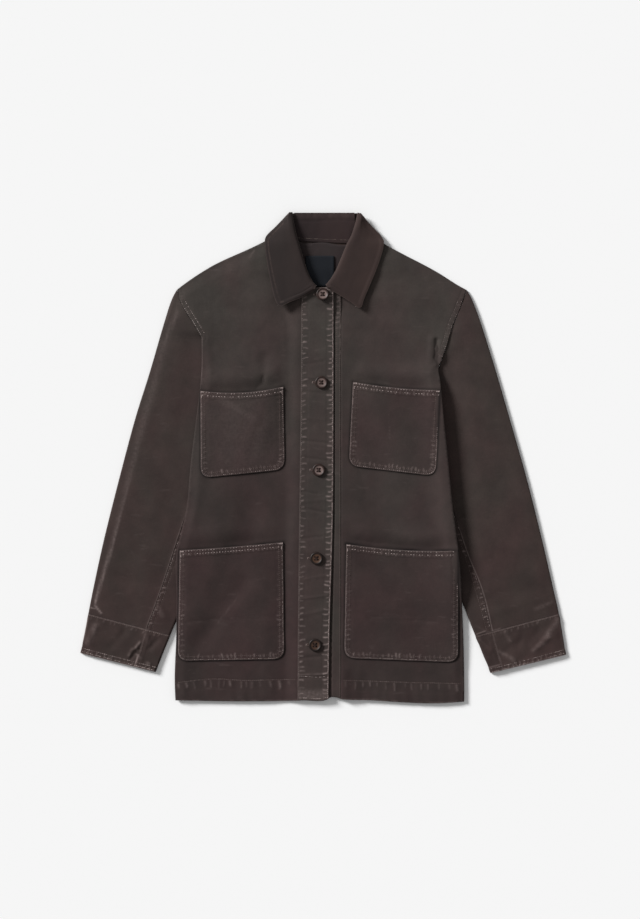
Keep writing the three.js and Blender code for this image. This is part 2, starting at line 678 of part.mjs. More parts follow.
// Pocket outline: a sagging mouth, straight sides and rounded lower corners.
function pocketOutline({ corners, sag, round }) {
  const { topLeft, topRight, lowRight, lowLeft } = corners;
  const points = [];
  const MOUTH_STEPS = 6;
  for (let i = 0; i <= MOUTH_STEPS; i++) {
    const t = i / MOUTH_STEPS;
    const x = THREE.MathUtils.lerp(topLeft[0], topRight[0], t);
    const y = THREE.MathUtils.lerp(topLeft[1], topRight[1], t) - 4 * sag * t * (1 - t);
    points.push([x, y]);
  }
  const rounded = (before, corner, after) => {
    const toward = (end) => {
      const length = Math.hypot(end[0] - corner[0], end[1] - corner[1]);
      return [0, 1].map((axis) => corner[axis] + ((end[axis] - corner[axis]) * round) / length);
    };
    const curve = new THREE.QuadraticBezierCurve(
      new THREE.Vector2(...toward(before)),
      new THREE.Vector2(...corner),
      new THREE.Vector2(...toward(after)),
    );
    return curve.getPoints(5).map((p) => [p.x, p.y]);
  };
  points.push(...rounded(topRight, lowRight, lowLeft));
  points.push(...rounded(lowRight, lowLeft, topLeft));
  return points;
}

function addPockets() {
  for (const pocket of pockets) {
    const { topLeft, topRight, lowRight, lowLeft } = pocket.corners;
    const full = frontGrids[pocket.front];
    const top = Math.max(topLeft[1], topRight[1]);
    const low = Math.min(lowLeft[1], lowRight[1]);
    const firstRow = ROWS.findLastIndex((y) => y < low);
    const lastRow = ROWS.findIndex((y) => y > top);
    const grid = full.grid.slice(firstRow, lastRow + 1);
    const normals = full.normals.slice(firstRow, lastRow + 1);
    const FULL_DEPTH = 1.15; // the pouch fades over this share of the pocket's depth
    const pouch = (point) => {
      const across = (point.x - topLeft[0]) / (topRight[0] - topLeft[0]);
      const mouthY = THREE.MathUtils.lerp(topLeft[1], topRight[1], across);
      const down = (mouthY - point.y) / (top - low);
      const inside = Math.max(0, 4 * across * (1 - across));
      return pocket.open * inside * smooth(FULL_DEPTH - Math.max(0, down));
    };
    const hemStep = (point) => {
      const across = (point.x - topLeft[0]) / (topRight[0] - topLeft[0]);
      const sag = 4 * pocket.sag * across * (1 - across);
      const mouthY = THREE.MathUtils.lerp(topLeft[1], topRight[1], across) - sag;
      return mouthY - point.y < POCKET_HEM ? POCKET_HEM_EXTRA : 0;
    };
    const seat = CLOTH / 2 + SEAM;
    const solid = layer(
      grid,
      normals,
      (point) => seat + pouch(point),
      (point) => seat + pouch(point) + CLOTH + hemStep(point),
    );
    addPiece(pocket.name, cut(solid, pocketOutline(pocket)), colours.pocket);
  }
}

// Middle line of a pressed sleeve at one section, from the under edge of the outer fold over the
// top to the inner fold and back, as [share across, height] from mid to mid of the cloth.
function sleeveProfile(section, part) {
  const width = Math.hypot(section.outerX - section.innerX, section.outerY - section.innerY);
  const low = CLOTH / 2;
  const UNDER_LAP = 7; // the back seam lies this far round the outer fold
  const COVERED_AIR = 0.4; // where the body lies on the sleeve
  const OUTER_AIR = 1.2;
  const CLEAR_COVER = 0.95; // over this share the sleeve is coming out from under the body
  const OUTER_SWELL = 0.14; // shares of the width over which the tube's swell starts and ends
  const INNER_SWELL = 0.3;
  const COVER_GAP = 0.04;
  const innerAir = THREE.MathUtils.lerp(COVERED_AIR, OUTER_AIR, smooth((section.cover - CLEAR_COVER) / 0.2));
  const air = (share) => {
    const swell = smooth(share / OUTER_SWELL) * smooth((section.cover - COVER_GAP - share) / INNER_SWELL);
    const edges = THREE.MathUtils.lerp(OUTER_AIR, innerAir, smooth(share / (0.85 * section.cover)));
    return edges + (section.air - edges) * swell;
  };
  const fold = (share, side, gap) => {
    const radius = (CLOTH + gap) / 2;
    const arc = [-60, 0, 60].map((degrees) => {
      const angle = THREE.MathUtils.degToRad(degrees);
      const across = share * width + side * (Math.cos(angle) - 1) * radius;
      return [across / width, low + radius + radius * Math.sin(angle)];
    });
    return { arc, flat: (side * radius) / width };
  };
  const inset = CLOTH / 2 / width;
  const outer = fold(inset, -1, OUTER_AIR);
  const inner = fold(1 - inset, 1, innerAir);
  const gapShare = SEAM / 2 / width;
  const spread = (from, to, steps) =>
    Array.from({ length: steps + 1 }, (_, i) => THREE.MathUtils.lerp(from, to, i / steps));
  if (part === "top") {
    const start = inset - outer.flat;
    const first = start + UNDER_LAP / width;
    const across = [0, 0.035, 0.1, 0.25, 0.45, 0.65, 0.85, 1].map((s) =>
      THREE.MathUtils.lerp(start, section.seam - gapShare, s),
    );
    return [[first, low], [start, low], ...outer.arc, ...across.map((s) => [s, low + CLOTH + air(s)])];
  }
  const end = 1 - inset - inner.flat;
  const topStrip = spread(section.seam + gapShare, end, 2).map((s) => [s, low + CLOTH + air(s)]);
  const underStrip = spread(end, inset - outer.flat + UNDER_LAP / width + 2 * gapShare, 6).map((s) => [s, low]);
  return [...topStrip, ...inner.arc.reverse(), ...underStrip];
}

// Grid over a stretch of a sleeve, between two places along its table.
function sleeveGrid(sections, part, from, to, rows) {
  const grid = [];
  for (let i = 0; i <= rows; i++) {
    const section = sectionAt(sections, from + ((to - from) * i) / rows);
    const profile = part === "cuff" ? cuffProfile(section) : sleeveProfile(section, part);
    grid.push(
      profile.map(([share, height]) => {
        const x = THREE.MathUtils.lerp(section.outerX, section.innerX, share);
        const y = THREE.MathUtils.lerp(section.outerY, section.innerY, share);
        return new THREE.Vector3(x, y, height);
      }),
    );
  }
  return grid;
}

// A cuff is the whole ring: the top and under profiles without their seams.
function cuffProfile(section) {
  const top = sleeveProfile(section, "top").slice(2, -1);
  const under = sleeveProfile(section, "under").slice(1, -1);
  return [...top, ...under];
}

// Normals of a sleeve grid lie in its sections, turned away from the tube's inside.
function sleeveNormals(grid, ring) {
  const columns = grid[0].length;
  return grid.map((line, i) => {
    const above = grid[Math.min(grid.length - 1, i + 1)][0];
    const along = above.clone().sub(grid[Math.max(0, i - 1)][0]);
    return line.map((point, j) => {
      const next = ring ? line[(j + 1) % columns] : line[Math.min(columns - 1, j + 1)];
      const last = ring ? line[(j + columns - 1) % columns] : line[Math.max(0, j - 1)];
      const toNext = next.clone().sub(point).normalize();
      const fromLast = point.clone().sub(last).normalize();
      return toNext.add(fromLast).cross(along).normalize();
    });
  });
}

function addSleeve(side, sections, armhole, sign) {
  const FAR_OUT = sign * 420;
  const FAR_DOWN = -380;
  const shifted = armhole.map((row) => [row.x + sign * SEAM, row.y - SEAM]);
  const last = shifted[shifted.length - 1];
  const outline = [[FAR_OUT, shifted[0][1]], ...shifted, [last[0], FAR_DOWN], [FAR_OUT, FAR_DOWN]];
  const CUFF_START = (sections.length - 2) / (sections.length - 1); // the cuff is the table's last stretch
  const CUFF_LENGTH = 60;
  const gapShare = SEAM / 2 / CUFF_LENGTH / (sections.length - 1);
  const colour = colours.sleeve;
  for (const part of ["top", "under"]) {
    const grid = sleeveGrid(sections, part, 0, CUFF_START - gapShare, 14);
    const solid = layer(grid, sleeveNormals(grid, false), -CLOTH / 2, CLOTH / 2);
    addPiece("sleeve_" + part + "_" + side, cut(solid, outline), colour);
  }
  const cuff = sleeveGrid(sections, "cuff", CUFF_START + gapShare, 1, 2);
  addPiece("cuff_" + side, layer(cuff, sleeveNormals(cuff, true), -CLOTH / 2, CLOTH / 2, true), colours.sleeve);
}

// A leaf's section runs from the cloth that rolls under, round the roll edge and out to the free edge.
function leafGrid(sections) {
  const rows = 15;
  const ROLL_BEND = 3.2; // how far from the roll edge the cloth has turned flat
  const UNDER_REACH = 8; // how far the cloth under the roll is built
  const grid = [];
  const half = COLLAR_CLOTH / 2;
  for (let i = 0; i <= rows; i++) {
    const place = (i / rows) * (sections.length - 1);
    const row = Math.min(sections.length - 2, Math.floor(place));
    const s = {};
    for (const column of Object.keys(sections[0])) {
      s[column] = THREE.MathUtils.lerp(sections[row][column], sections[row + 1][column], place - row);
    }
    const width = Math.hypot(s.edgeX - s.rollX, s.edgeY - s.rollY);
    const bend = Math.min(ROLL_BEND, width * 0.3);
    const middle = (s.seat + s.crest) / 2;
    const profile = [
      [Math.min(UNDER_REACH, width * 0.55), s.seat],
      [half + bend * 0.7, s.seat + 0.1],
      [half, middle],
      [half + bend * 0.7, s.crest - 0.35],
      [half + bend * 1.6, s.crest],
    ];
    const start = half + bend * 1.6;
    for (const share of [0.3, 0.6, 0.85, 1]) {
      const height = THREE.MathUtils.lerp(s.crest, s.edge, smooth(share * 0.9) * 0.6 + share * 0.4);
      profile.push([THREE.MathUtils.lerp(start, Math.max(start + 1, width), share), height]);
    }
    grid.push(
      profile.map(([away, height]) => {
        const x = THREE.MathUtils.lerp(s.rollX, s.edgeX, away / width);
        const y = THREE.MathUtils.lerp(s.rollY, s.edgeY, away / width);
        return new THREE.Vector3(x, y, height);
      }),
    );
  }
  return grid;
}

function addCollar() {
  const half = COLLAR_CLOTH / 2;
  const leaves = { right: rightLeafSections, left: leftLeafSections };
  for (const [side, sections] of Object.entries(leaves)) {
    const grid = leafGrid(sections);
    addPiece("collar_leaf_" + side, layer(grid, sleeveNormals(grid, false), -half, half), colours.collar);
  }
  addPiece("collar_stand", standSolid(), colours.collarInner);
  addPiece("collar_fall_back", fallSolid(), colours.collar);
}

// The stand rises from the back neck seam to the roll, over the fall that lies under it.
function standSolid() {
  const rows = [
    { up: 0, z: 2.1 },
    { up: 0.3, z: 3.6 },
    { up: 0.65, z: 4.8 },
    { up: 0.9, z: 5.2 },
    { up: 1, z: 4.9 },
  ];
  const columns = 10;
  const HALF_LOW = 47;
  const HALF_TOP = 45;
  const TOP = 367;
  const grid = rows.map(({ up, z }) =>
    Array.from({ length: columns + 1 }, (_, j) => {
      const across = (2 * j) / columns - 1;
      const seamX = across * HALF_LOW;
      const seamY = lookUp(backNeck, "x", seamX, "y") + SEAM;
      const x = THREE.MathUtils.lerp(seamX, across * HALF_TOP, up);
      return new THREE.Vector3(x, THREE.MathUtils.lerp(seamY, TOP, up), z);
    }),
  );
  return layer(grid, gridNormals(grid), -CLOTH / 2, CLOTH / 2);
}

function fallSolid() {
  const rows = [
    { y: FALL_LOW, z: 0.6, half: FALL_HALF_WIDE - 3 },
    { y: FALL_WIDE, z: 0.6, half: FALL_HALF_WIDE - 1 },
    { y: 348, z: 0.7, half: 70 },
    { y: 360, z: 1.6, half: 58 },
    { y: FALL_TOP, z: 2.9, half: FALL_HALF_TOP },
  ];
  const columns = 8;
  const grid = rows.map(({ y, z, half }) =>
    Array.from({ length: columns + 1 }, (_, j) => new THREE.Vector3(((2 * j) / columns - 1) * half, y, z)),
  );
  return layer(grid, gridNormals(grid), -CLOTH / 2, CLOTH / 2);
}

function addLabel() {
  const WIDTH = 43.5;
  const middleX = -6.5;
  const top = 302.8;
  const low = 257;
  const grid = bodyGrid(backHeight, MIDDLE_FIRST, MIDDLE_FIRST + 5, ROWS.length - 8, ROWS.length - 1);
  const seat = CLOTH / 2 + SEAM;
  const outline = [
    [middleX - WIDTH / 2, low],
    [middleX + WIDTH / 2, low],
    [middleX + WIDTH / 2, top],
    [middleX - WIDTH / 2, top],
  ];
  const solid = layer(grid, gridNormals(grid), seat, seat + LABEL_CLOTH);
  addPiece("neck_label", cut(solid, outline), colours.label);
}

// Highest point of a grid's facets near a place, for seating what lies on it.
function gridTop(grid, x, y, radius) {
  let top = -Infinity;
  const raycaster = new THREE.Raycaster();
  const positions = [];
  for (let i = 0; i < grid.length - 1; i++) {
    for (let j = 0; j < grid[0].length - 1; j++) {
      const [a, b, c, d] = [grid[i][j], grid[i][j + 1], grid[i + 1][j + 1], grid[i + 1][j]];
      for (const p of [a, b, c, a, c, d]) positions.push(p.x, p.y, p.z);
    }
  }
  const geometry = new THREE.BufferGeometry();
  geometry.setAttribute("position", new THREE.BufferAttribute(new Float32Array(positions), 3));
  const mesh = new THREE.Mesh(geometry, new THREE.MeshBasicMaterial({ side: THREE.DoubleSide }));
  const STEPS = 12;
  for (let k = 0; k <= STEPS; k++) {
    const angle = (2 * Math.PI * k) / STEPS;
    const reach = k === STEPS ? 0 : radius;
    const from = new THREE.Vector3(x + reach * Math.cos(angle), y + reach * Math.sin(angle), 200);
    raycaster.set(from, new THREE.Vector3(0, 0, -1));
    for (const hit of raycaster.intersectObject(mesh)) top = Math.max(top, hit.point.z);
  }
  return top;
}

// A four-hole button with a raised rim, its underside at z = 0.
function buttonSolid() {
  const R = BUTTON_RADIUS;
  const H = BUTTON_THICK;
  const profile = [
    [0, 0],
    [R * 0.8, 0],
    [R, H * 0.42],
    [R * 0.97, H * 0.8],
    [R * 0.86, H],
    [R * 0.7, H * 0.92],
    [R * 0.56, H * 0.68],
    [0, H * 0.62],
  ];
  const turned = new THREE.LatheGeometry(profile.map(([x, y]) => new THREE.Vector2(x, y)), 16);
  turned.rotateX(Math.PI / 2);
  let solid = geometryToManifold(turned);
  const HOLE_RADIUS = 1.05;
  const HOLE_PLACE = 1.75;
  for (let k = 0; k < 4; k++) {
    const angle = Math.PI / 4 + (k * Math.PI) / 2;
    const hole = new THREE.CylinderGeometry(HOLE_RADIUS, HOLE_RADIUS, 4 * H, 5);
    hole.rotateX(Math.PI / 2);
    hole.translate(HOLE_PLACE * Math.SQRT2 * Math.cos(angle), HOLE_PLACE * Math.SQRT2 * Math.sin(angle), 0);
    solid = solid.subtract(geometryToManifold(hole));
  }
  return solid;
}

function addButtons() {
  const BUTTON_ROUGHNESS = 0.45;
  const solid = buttonSolid();
  const seat = CLOTH / 2 + SEAM + CLOTH + SEAM;
  for (const button of buttons) {
    const under = gridTop(rightFrontGrid, button.x, button.y, BUTTON_RADIUS) + seat;
    const drop = BUTTON_RADIUS * Math.abs(Math.sin(button.tilt));
    const placed = placeTilted(solid, button.tilt, button.x, button.y, under + drop);
    addPiece(button.name, placed, button.colour, BUTTON_ROUGHNESS);
  }
}

// The solid turned about X by its tilt and set in its place.
function placeTilted(solid, tilt, x, y, z) {
  const geometry = manifoldToGeometry(solid);
  geometry.rotateX(tilt);
  geometry.translate(x, y, z);
  return toManifold([...geometry.attributes.position.array], [...geometry.index.array]);
}

addBack();
addFronts();
addBands();
addPockets();
addSleeve("right", rightSleeveSections, rightArmhole, -1);
addSleeve("left", leftSleeveSections, leftArmhole, 1);
addCollar();
addLabel();
addButtons();

export default group;
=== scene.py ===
import json
import math

import bpy
import numpy as np
from mathutils import Matrix, Vector
from mathutils.geometry import delaunay_2d_cdt


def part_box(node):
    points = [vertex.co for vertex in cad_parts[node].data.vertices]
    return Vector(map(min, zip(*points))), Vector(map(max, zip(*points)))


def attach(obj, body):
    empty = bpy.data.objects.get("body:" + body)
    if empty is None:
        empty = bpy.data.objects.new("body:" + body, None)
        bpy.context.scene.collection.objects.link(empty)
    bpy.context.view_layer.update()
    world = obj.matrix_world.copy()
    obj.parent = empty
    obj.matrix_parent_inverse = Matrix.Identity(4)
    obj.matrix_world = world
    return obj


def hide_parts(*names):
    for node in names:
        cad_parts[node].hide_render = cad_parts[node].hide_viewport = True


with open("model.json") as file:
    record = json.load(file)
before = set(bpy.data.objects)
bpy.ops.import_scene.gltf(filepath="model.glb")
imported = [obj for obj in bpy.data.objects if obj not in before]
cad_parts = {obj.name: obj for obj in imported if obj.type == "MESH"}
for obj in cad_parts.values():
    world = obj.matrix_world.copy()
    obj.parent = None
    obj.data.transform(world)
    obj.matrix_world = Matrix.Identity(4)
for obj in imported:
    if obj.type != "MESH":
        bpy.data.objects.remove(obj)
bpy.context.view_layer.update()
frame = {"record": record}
MM = 0.001

# Cloth and stacking heights, the same as the solids have.
CLOTH = 1.2
SEAM = 0.3
COLLAR_CLOTH = 1.8
LABEL_CLOTH = 1.0
SLEEVE_STACK = 3.2
FALL_STACK = 1.5
OVERLAP_STACK = 3.0
RIGHT_EDGE_RISE = 1.5
LEFT_EDGE_RISE = 7.5
LAP = (-60, -38)  # the lapped front climbs over the button band between these
BAND = (-35.5, 25)
BAND_TOP = 252
OUTWARDS = {"right": -1, "left": 1}  # the way along X from the middle to each side


def table(columns, *rows):
    """Columns of a short table, by name."""
    return {name: np.array(values, float) for name, values in zip(columns.split(), zip(*rows))}


BODY = table(
    "y right left",
    (-372, -222.5, 209.6),
    (-339, -224.0, 209.6),
    (-267, -221.7, 208.1),
    (-213, -221.0, 205.7),
    (-139, -220.4, 200.4),
    (-116, -215.1, 197.4),
    (-75, -206.2, 192.0),
    (-14, -200.4, 185.9),
    (32, -195.1, 181.2),
    (78, -189.2, 176.6),
    (116, -185.0, 173.3),
    (135, -183.6, 172.0),
    (157, -183.4, 183.0),
    (180, -188.0, 190.0),
    (216, -211.0, 203.0),
    (255, -227.0, 218.0),
    (352, -227.0, 218.0),
)
HEM = [(-224, -363.2), (-117.5, -364.7), (-33.5, -363.2), (6.3, -360.6)]
HEM += [(8.5, -359.2), (29.5, -361.7), (71.5, -363.2), (116.5, -366.2), (166, -367.7), (210, -365.2)]
SHOULDER = {
    "right": [(-54.5, 343.3), (-96.5, 320.8), (-173, 284.8), (-213.5, 257.8), (-220.2, 252.6)],
    "left": [(55, 341.8), (89.5, 320.8), (173.5, 275.8), (202, 257.8), (213.8, 251.4)],
}
ARMHOLE = {
    "right": [(-220.2, 252.6), (-218.7, 244.3), (-215, 233.1), (-205.2, 215.8)]
    + [(-194, 197.8), (-183.5, 179.8)],
    "left": [(213.8, 251.4), (208, 236.8), (202, 220.3), (193, 199.8), (183.1, 167.4), (175.8, 147.4)],
}
TUCKED = {  # where the armhole runs on under the body
    "right": [(-183.5, 179.8), (-177.5, 158), (-165.5, 131), (-141.5, 110.8), (-80, 90)],
    "left": [(175.8, 147.4), (167.5, 126), (152.5, 105), (125.5, 86), (70, 76)],
}
SIDE = {  # the body's side edges, from the armpit to the hem
    "right": [(-183.5, 179.8), (-183.3, 168), (-183.6, 135), (-185, 116), (-189.2, 78), (-195.1, 32)]
    + [(-200.4, -14), (-206.2, -75), (-215.1, -116), (-220.4, -139), (-221, -213), (-221.7, -267)]
    + [(-224, -339), (-223, -363.3)],
    "left": [(175.8, 147.4), (171.2, 134.5), (173.3, 116), (176.6, 78), (181.2, 32), (185.9, -14)]
    + [(192, -75), (197.4, -116), (200.4, -139), (205.7, -213), (208.1, -267), (209.6, -339), (209.6, -365.3)],
}
BACK_NECK = [(-54.5, 343.3), (-47, 332.8), (-39.5, 325.3), (-0.5, 323.1)]
BACK_NECK += [(38.5, 321.6), (47.5, 331.3), (55, 341.8)]
NECK = {
    "right": [(-54.5, 343.3), (-48.5, 322.3), (-39.5, 298.3), (-30.5, 274.3), (-23, 262.3), (-15.5, 254.8)],
    "left": [(8.5, 256.3), (17.5, 265.3), (26.5, 278.8), (37, 298.3), (49, 320.8), (55, 341.8)],
}
PLACKET = table(
    "y inner outer",
    (254.8, -34.2, 13.8),
    (86.8, -35.2, 13.8),
    (-85.7, -37.5, 12.8),
    (-273.2, -39.7, 7.5),
    (-360.6, -39.9, 6.3),
)
SLEEVE_COLUMNS = "outer_x outer_y inner_x inner_y seam cover air"
SLEEVE = {
    "right": table(
        SLEEVE_COLUMNS,
        (-218, 257.1, -101, 116.8, 0.78, 0.3, 2.2),
        (-228.8, 236.8, -102.5, 98.8, 0.78, 0.4, 2.4),
        (-240.5, 200.8, -108.5, 71.8, 0.76, 0.43, 2.5),
        (-261.5, 128.8, -125, 26.8, 0.74, 0.53, 2.3),
        (-284, 56.8, -138.5, -15.2, 0.72, 0.6, 2.0),
        (-308, -33.2, -159.5, -78.2, 0.717, 0.69, 2.2),
        (-330.5, -123.2, -188, -156.2, 0.72, 0.775, 2.3),
        (-346.2, -195.2, -215, -226.7, 0.715, 0.955, 2.2),
        (-353.7, -233.4, -230.7, -265.7, 0.71, 1.2, 2.0),
        (-365.2, -292.5, -252.9, -320.7, 0.73, 1.2, 2.2),
    ),
    "left": table(
        SLEEVE_COLUMNS,
        (211, 255.6, 97, 113.8, 0.78, 0.3, 2.2),
        (221.5, 236.8, 100, 95.8, 0.78, 0.4, 2.4),
        (235, 200.8, 107.5, 68.8, 0.78, 0.46, 2.5),
        (257.5, 128.8, 124, 23.8, 0.78, 0.59, 2.4),
        (278.5, 56.8, 137.5, -18.2, 0.78, 0.66, 2.3),
        (304, -33.2, 160, -84.2, 0.78, 0.78, 2.3),
        (326.5, -123.2, 187, -163.7, 0.755, 0.88, 2.3),
        (343, -195.2, 212.5, -231.2, 0.776, 1.05, 2.2),
        (351.6, -233.4, 226.3, -266.4, 0.8, 1.2, 2.0),
        (362.1, -294.9, 249.3, -322.3, 0.834, 1.2, 2.2),
    ),
}
LEAF_COLUMNS = "roll_x roll_y edge_x edge_y seat crest edge"
LEAF = {
    "right": table(
        LEAF_COLUMNS,
        (-47.7, 367.6, -52.2, 367.0, 7.0, 9.6, 5.0),
        (-44.5, 347.8, -71.0, 347.8, 7.4, 11.8, 4.2),
        (-41.0, 332.1, -87.0, 331.6, 7.8, 12.4, 4.8),
        (-37.2, 319.3, -88.7, 317.8, 8.0, 12.6, 8.2),
        (-31.0, 298.3, -86.0, 293.8, 8.0, 12.6, 9.0),
        (-25.2, 280.3, -80.7, 265.3, 8.2, 12.6, 10.4),
        (-20.7, 269.8, -74.2, 238.3, 8.8, 12.8, 11.6),
        (-17.7, 264.6, -66.5, 227.1, 9.8, 13.0, 12.4),
        (-15.5, 261.6, -50.0, 233.4, 10.2, 13.4, 12.6),
        (-13.5, 259.3, -32.0, 240.9, 10.3, 13.4, 12.0),
        (-12.0, 257.8, -15.0, 250.8, 10.3, 13.4, 11.0),
    ),
    "left": table(
        LEAF_COLUMNS,
        (49.8, 367.0, 55.0, 365.1, 7.0, 9.6, 5.0),
        (45.3, 347.8, 70.8, 347.1, 7.4, 11.8, 4.2),
        (40.0, 332.1, 86.0, 330.6, 7.8, 12.4, 5.0),
        (33.3, 319.3, 88.8, 317.8, 8.0, 12.6, 8.0),
        (25.3, 299.8, 81.8, 292.3, 8.0, 12.6, 8.6),
        (18.3, 283.3, 71.2, 265.3, 8.2, 12.6, 8.6),
        (13.0, 273.6, 60.3, 239.8, 8.8, 12.8, 8.4),
        (9.3, 267.6, 53.5, 224.4, 9.8, 13.0, 8.6),
        (6.3, 263.8, 38.5, 233.5, 10.2, 13.4, 9.8),
        (4.0, 261.1, 22.0, 243.9, 10.3, 13.4, 11.0),
        (1.8, 259.3, 5.5, 253.9, 10.3, 13.4, 11.0),
    ),
}
FALL_LOW = 308
FALL_HALF_WIDE = 87

# Soft folds: a straight ridge (up) or trough (down) with its half width. The first ones are in the solids too.
FRONT_FOLDS = [
    (-92, 240, -128, 130, 0.9, 26),
    (-89.6, 150, -93, 104, -1.3, 8),
    (-70, 180, -66, 60, 0.8, 14),
    (-122, -42, -108, -110, -1.1, 18),
    (-160, -50, -170, -120, 0.8, 24),
    (-120, -185, -186, -275, -1.2, 13),
    (-90, -150, -130, -290, 0.7, 26),
    (72, 216, 146, 140, -1.5, 19),
    (100, 250, 158, 190, 1.0, 22),
    (70, 170, 110, 125, 0.7, 18),
    (36, -16, 98, -114, -1.3, 17),
    (110, -45, 150, -120, 0.9, 24),
    (56, -150, 150, -242, -1.3, 18),
    (60, -215, 110, -300, 0.7, 22),
    (30, -320, 31, -366, 1.0, 9),
    (62, -330, 60, -366, -0.7, 9),
]
FRONT_CREASES = [
    (168.5, 176, 168, 150, -2.2, 3.4),
    (168, 150, 174, 133, -1.6, 3.0),
    (160, 178, 158.5, 146, 0.8, 5),
    (-176, 176, -170, 130, 0.5, 6),
    (-91, 122, -92, 104, -1.3, 2.4),
    (-60, 200, -56, 40, 0.35, 4),
    (-206, -246, -74, -238, -0.45, 2.2),
    (66, -240, 166, -246, -0.5, 2.2),
    (88, -231, 140, -238, -0.45, 2.0),
    (-46, -90, -52, -200, 0.3, 5),
    (22, 150, 26, 20, 0.3, 5),
    (-152, 86, -104, 58, 0.8, 8),
    (-98, 46, -110, 6, -0.6, 9),
    (-178, -6, -196, -96, 0.35, 7),
    (150, -60, 176, -128, -0.3, 8),
]
POCKETS = {
    "pocket_chest_right": dict(
        side="right", top_left=(-185.2, 100.5), top_right=(-61.2, 106.6), low_right=(-59.2, -17.4),
        low_left=(-184.4, -30.3), sag=6, open=1.9, dip=1.6, dark=0.7, worn=1.0, seed=11,
    ),
    "pocket_chest_left": dict(
        side="left", top_left=(43, 113.8), top_right=(172.8, 101.2), low_right=(166.6, -27.3),
        low_left=(36.9, -12), sag=3, open=1.9, dip=1.9, dark=0.85, worn=1.0, seed=12,
    ),
    "pocket_hip_right": dict(
        side="right", top_left=(-216.2, -138.2), top_right=(-61.7, -126.3), low_right=(-59.9, -301.3),
        low_left=(-219.2, -304.1), sag=1, open=1.3, dip=1.2, dark=0.75, worn=0.7, seed=13,
    ),
    "pocket_hip_left": dict(
        side="left", top_left=(33.1, -129), top_right=(200, -138.2), low_right=(200.5, -306.2),
        low_left=(30, -299.6), sag=4.5, open=1.7, dip=2.0, dark=0.95, worn=0.7, seed=14,
    ),
}
POCKET_ROUND = 17
POCKET_HEM = 10
POCKET_HEM_EXTRA = 0.5


# Curves and distances in the plane.


def smooth(t):
    """Smooth step from 0 to 1 as t runs from 0 to 1."""
    c = np.clip(t, 0, 1)
    return c * c * (3 - 2 * c)


def bell(distance, width):
    """1 at no distance, falling off smoothly over the width to both sides."""
    return np.exp(-((distance / width) ** 2))


def height_along(points, x):
    """Y of a line through unordered points at each X."""
    return np.interp(x, *np.array(sorted(points)).T)


def hermite(places, values, wanted):
    """Values at the wanted places, on a smooth curve through the given ones."""
    values = np.asarray(values, float)
    slopes = np.gradient(values, places, axis=0)
    k = np.clip(np.searchsorted(places, wanted, side="right") - 1, 0, len(places) - 2)
    gap = places[k + 1] - places[k]
    u = (wanted - places[k]) / gap
    if values.ndim == 2:
        u, gap = u[:, None], gap[:, None]
    here = (1 + 2 * u) * (1 - u) ** 2 * values[k] + u * (1 - u) ** 2 * gap * slopes[k]
    return here + u * u * (3 - 2 * u) * values[k + 1] + u * u * (u - 1) * gap * slopes[k + 1]


def lengths(points):
    steps = np.linalg.norm(np.diff(points, axis=0), axis=1)
    return np.concatenate([[0], np.cumsum(steps)])


def curve(points, step=2.5):
    """Points a step apart on a smooth curve through the given ones."""
    points = np.asarray(points, float)
    places = lengths(points)
    count = max(2, round(places[-1] / step) + 1)
    return hermite(places, points, np.linspace(0, places[-1], count))


def straight(points, step=2.5):
    """Points a step apart on straight lines through the given ones."""
    points = np.asarray(points, float)
    places = lengths(points)
    count = max(2, round(places[-1] / step) + 1)
    wanted = np.linspace(0, places[-1], count)
    return np.stack([np.interp(wanted, places, points[:, axis]) for axis in (0, 1)], 1)


def chain(*parts):
    """One line from stretches whose ends meet."""
    points = np.concatenate([np.asarray(part, float) for part in parts])
    apart = np.linalg.norm(np.diff(points, axis=0), axis=1) > 0.6
    return points[np.concatenate([[True], apart])]


def joined(*parts):
    """One closed outline from stretches whose ends meet, with its inside on the left."""
    points = chain(*parts)
    if np.linalg.norm(points[0] - points[-1]) < 0.6:
        points = points[:-1]
    return points if area_of(points) > 0 else points[::-1]


def area_of(points):
    x, y = points[:, 0], points[:, 1]
    return 0.5 * float(np.sum(x * np.roll(y, -1) - np.roll(x, -1) * y))


def nearest(x, y, line, closed=False):
    """How far along the line each point's nearest place is, and how far away it is, positive on the left."""
    start = np.asarray(line, float)
    end = np.roll(start, -1, axis=0)
    if not closed:
        start, end = start[:-1], end[:-1]
    run = end - start
    size = np.linalg.norm(run, axis=1)
    before = np.concatenate([[0], np.cumsum(size)[:-1]])
    along = np.empty(len(x))
    away = np.empty(len(x))
    BLOCK = 3000
    for first in range(0, len(x), BLOCK):
        px = x[first : first + BLOCK, None] - start[:, 0]
        py = y[first : first + BLOCK, None] - start[:, 1]
        t = np.clip((px * run[:, 0] + py * run[:, 1]) / size**2, 0, 1)
        dx = px - t * run[:, 0]
        dy = py - t * run[:, 1]
        square = dx * dx + dy * dy
        best = np.argmin(square, axis=1)
        rows = np.arange(len(best))
        cross = run[best, 0] * dy[rows, best] - run[best, 1] * dx[rows, best]
        along[first : first + BLOCK] = before[best] + t[rows, best] * size[best]
        away[first : first + BLOCK] = np.sqrt(square[rows, best]) * np.where(cross < 0, -1, 1)
    return along, away


def inside(x, y, outline):
    """Whether each point lies inside a closed outline."""
    ax, ay = outline[:, 0], outline[:, 1]
    bx, by = np.roll(ax, -1), np.roll(ay, -1)
    found = np.zeros(len(x), bool)
    BLOCK = 3000
    for first in range(0, len(x), BLOCK):
        px = x[first : first + BLOCK, None]
        py = y[first : first + BLOCK, None]
        spans = (ay > py) != (by > py)
        crossing = ax + (py - ay) * (bx - ax) / np.where(by == ay, 1, by - ay)
        found[first : first + BLOCK] = np.sum(spans & (px < crossing), axis=1) % 2 == 1
    return found


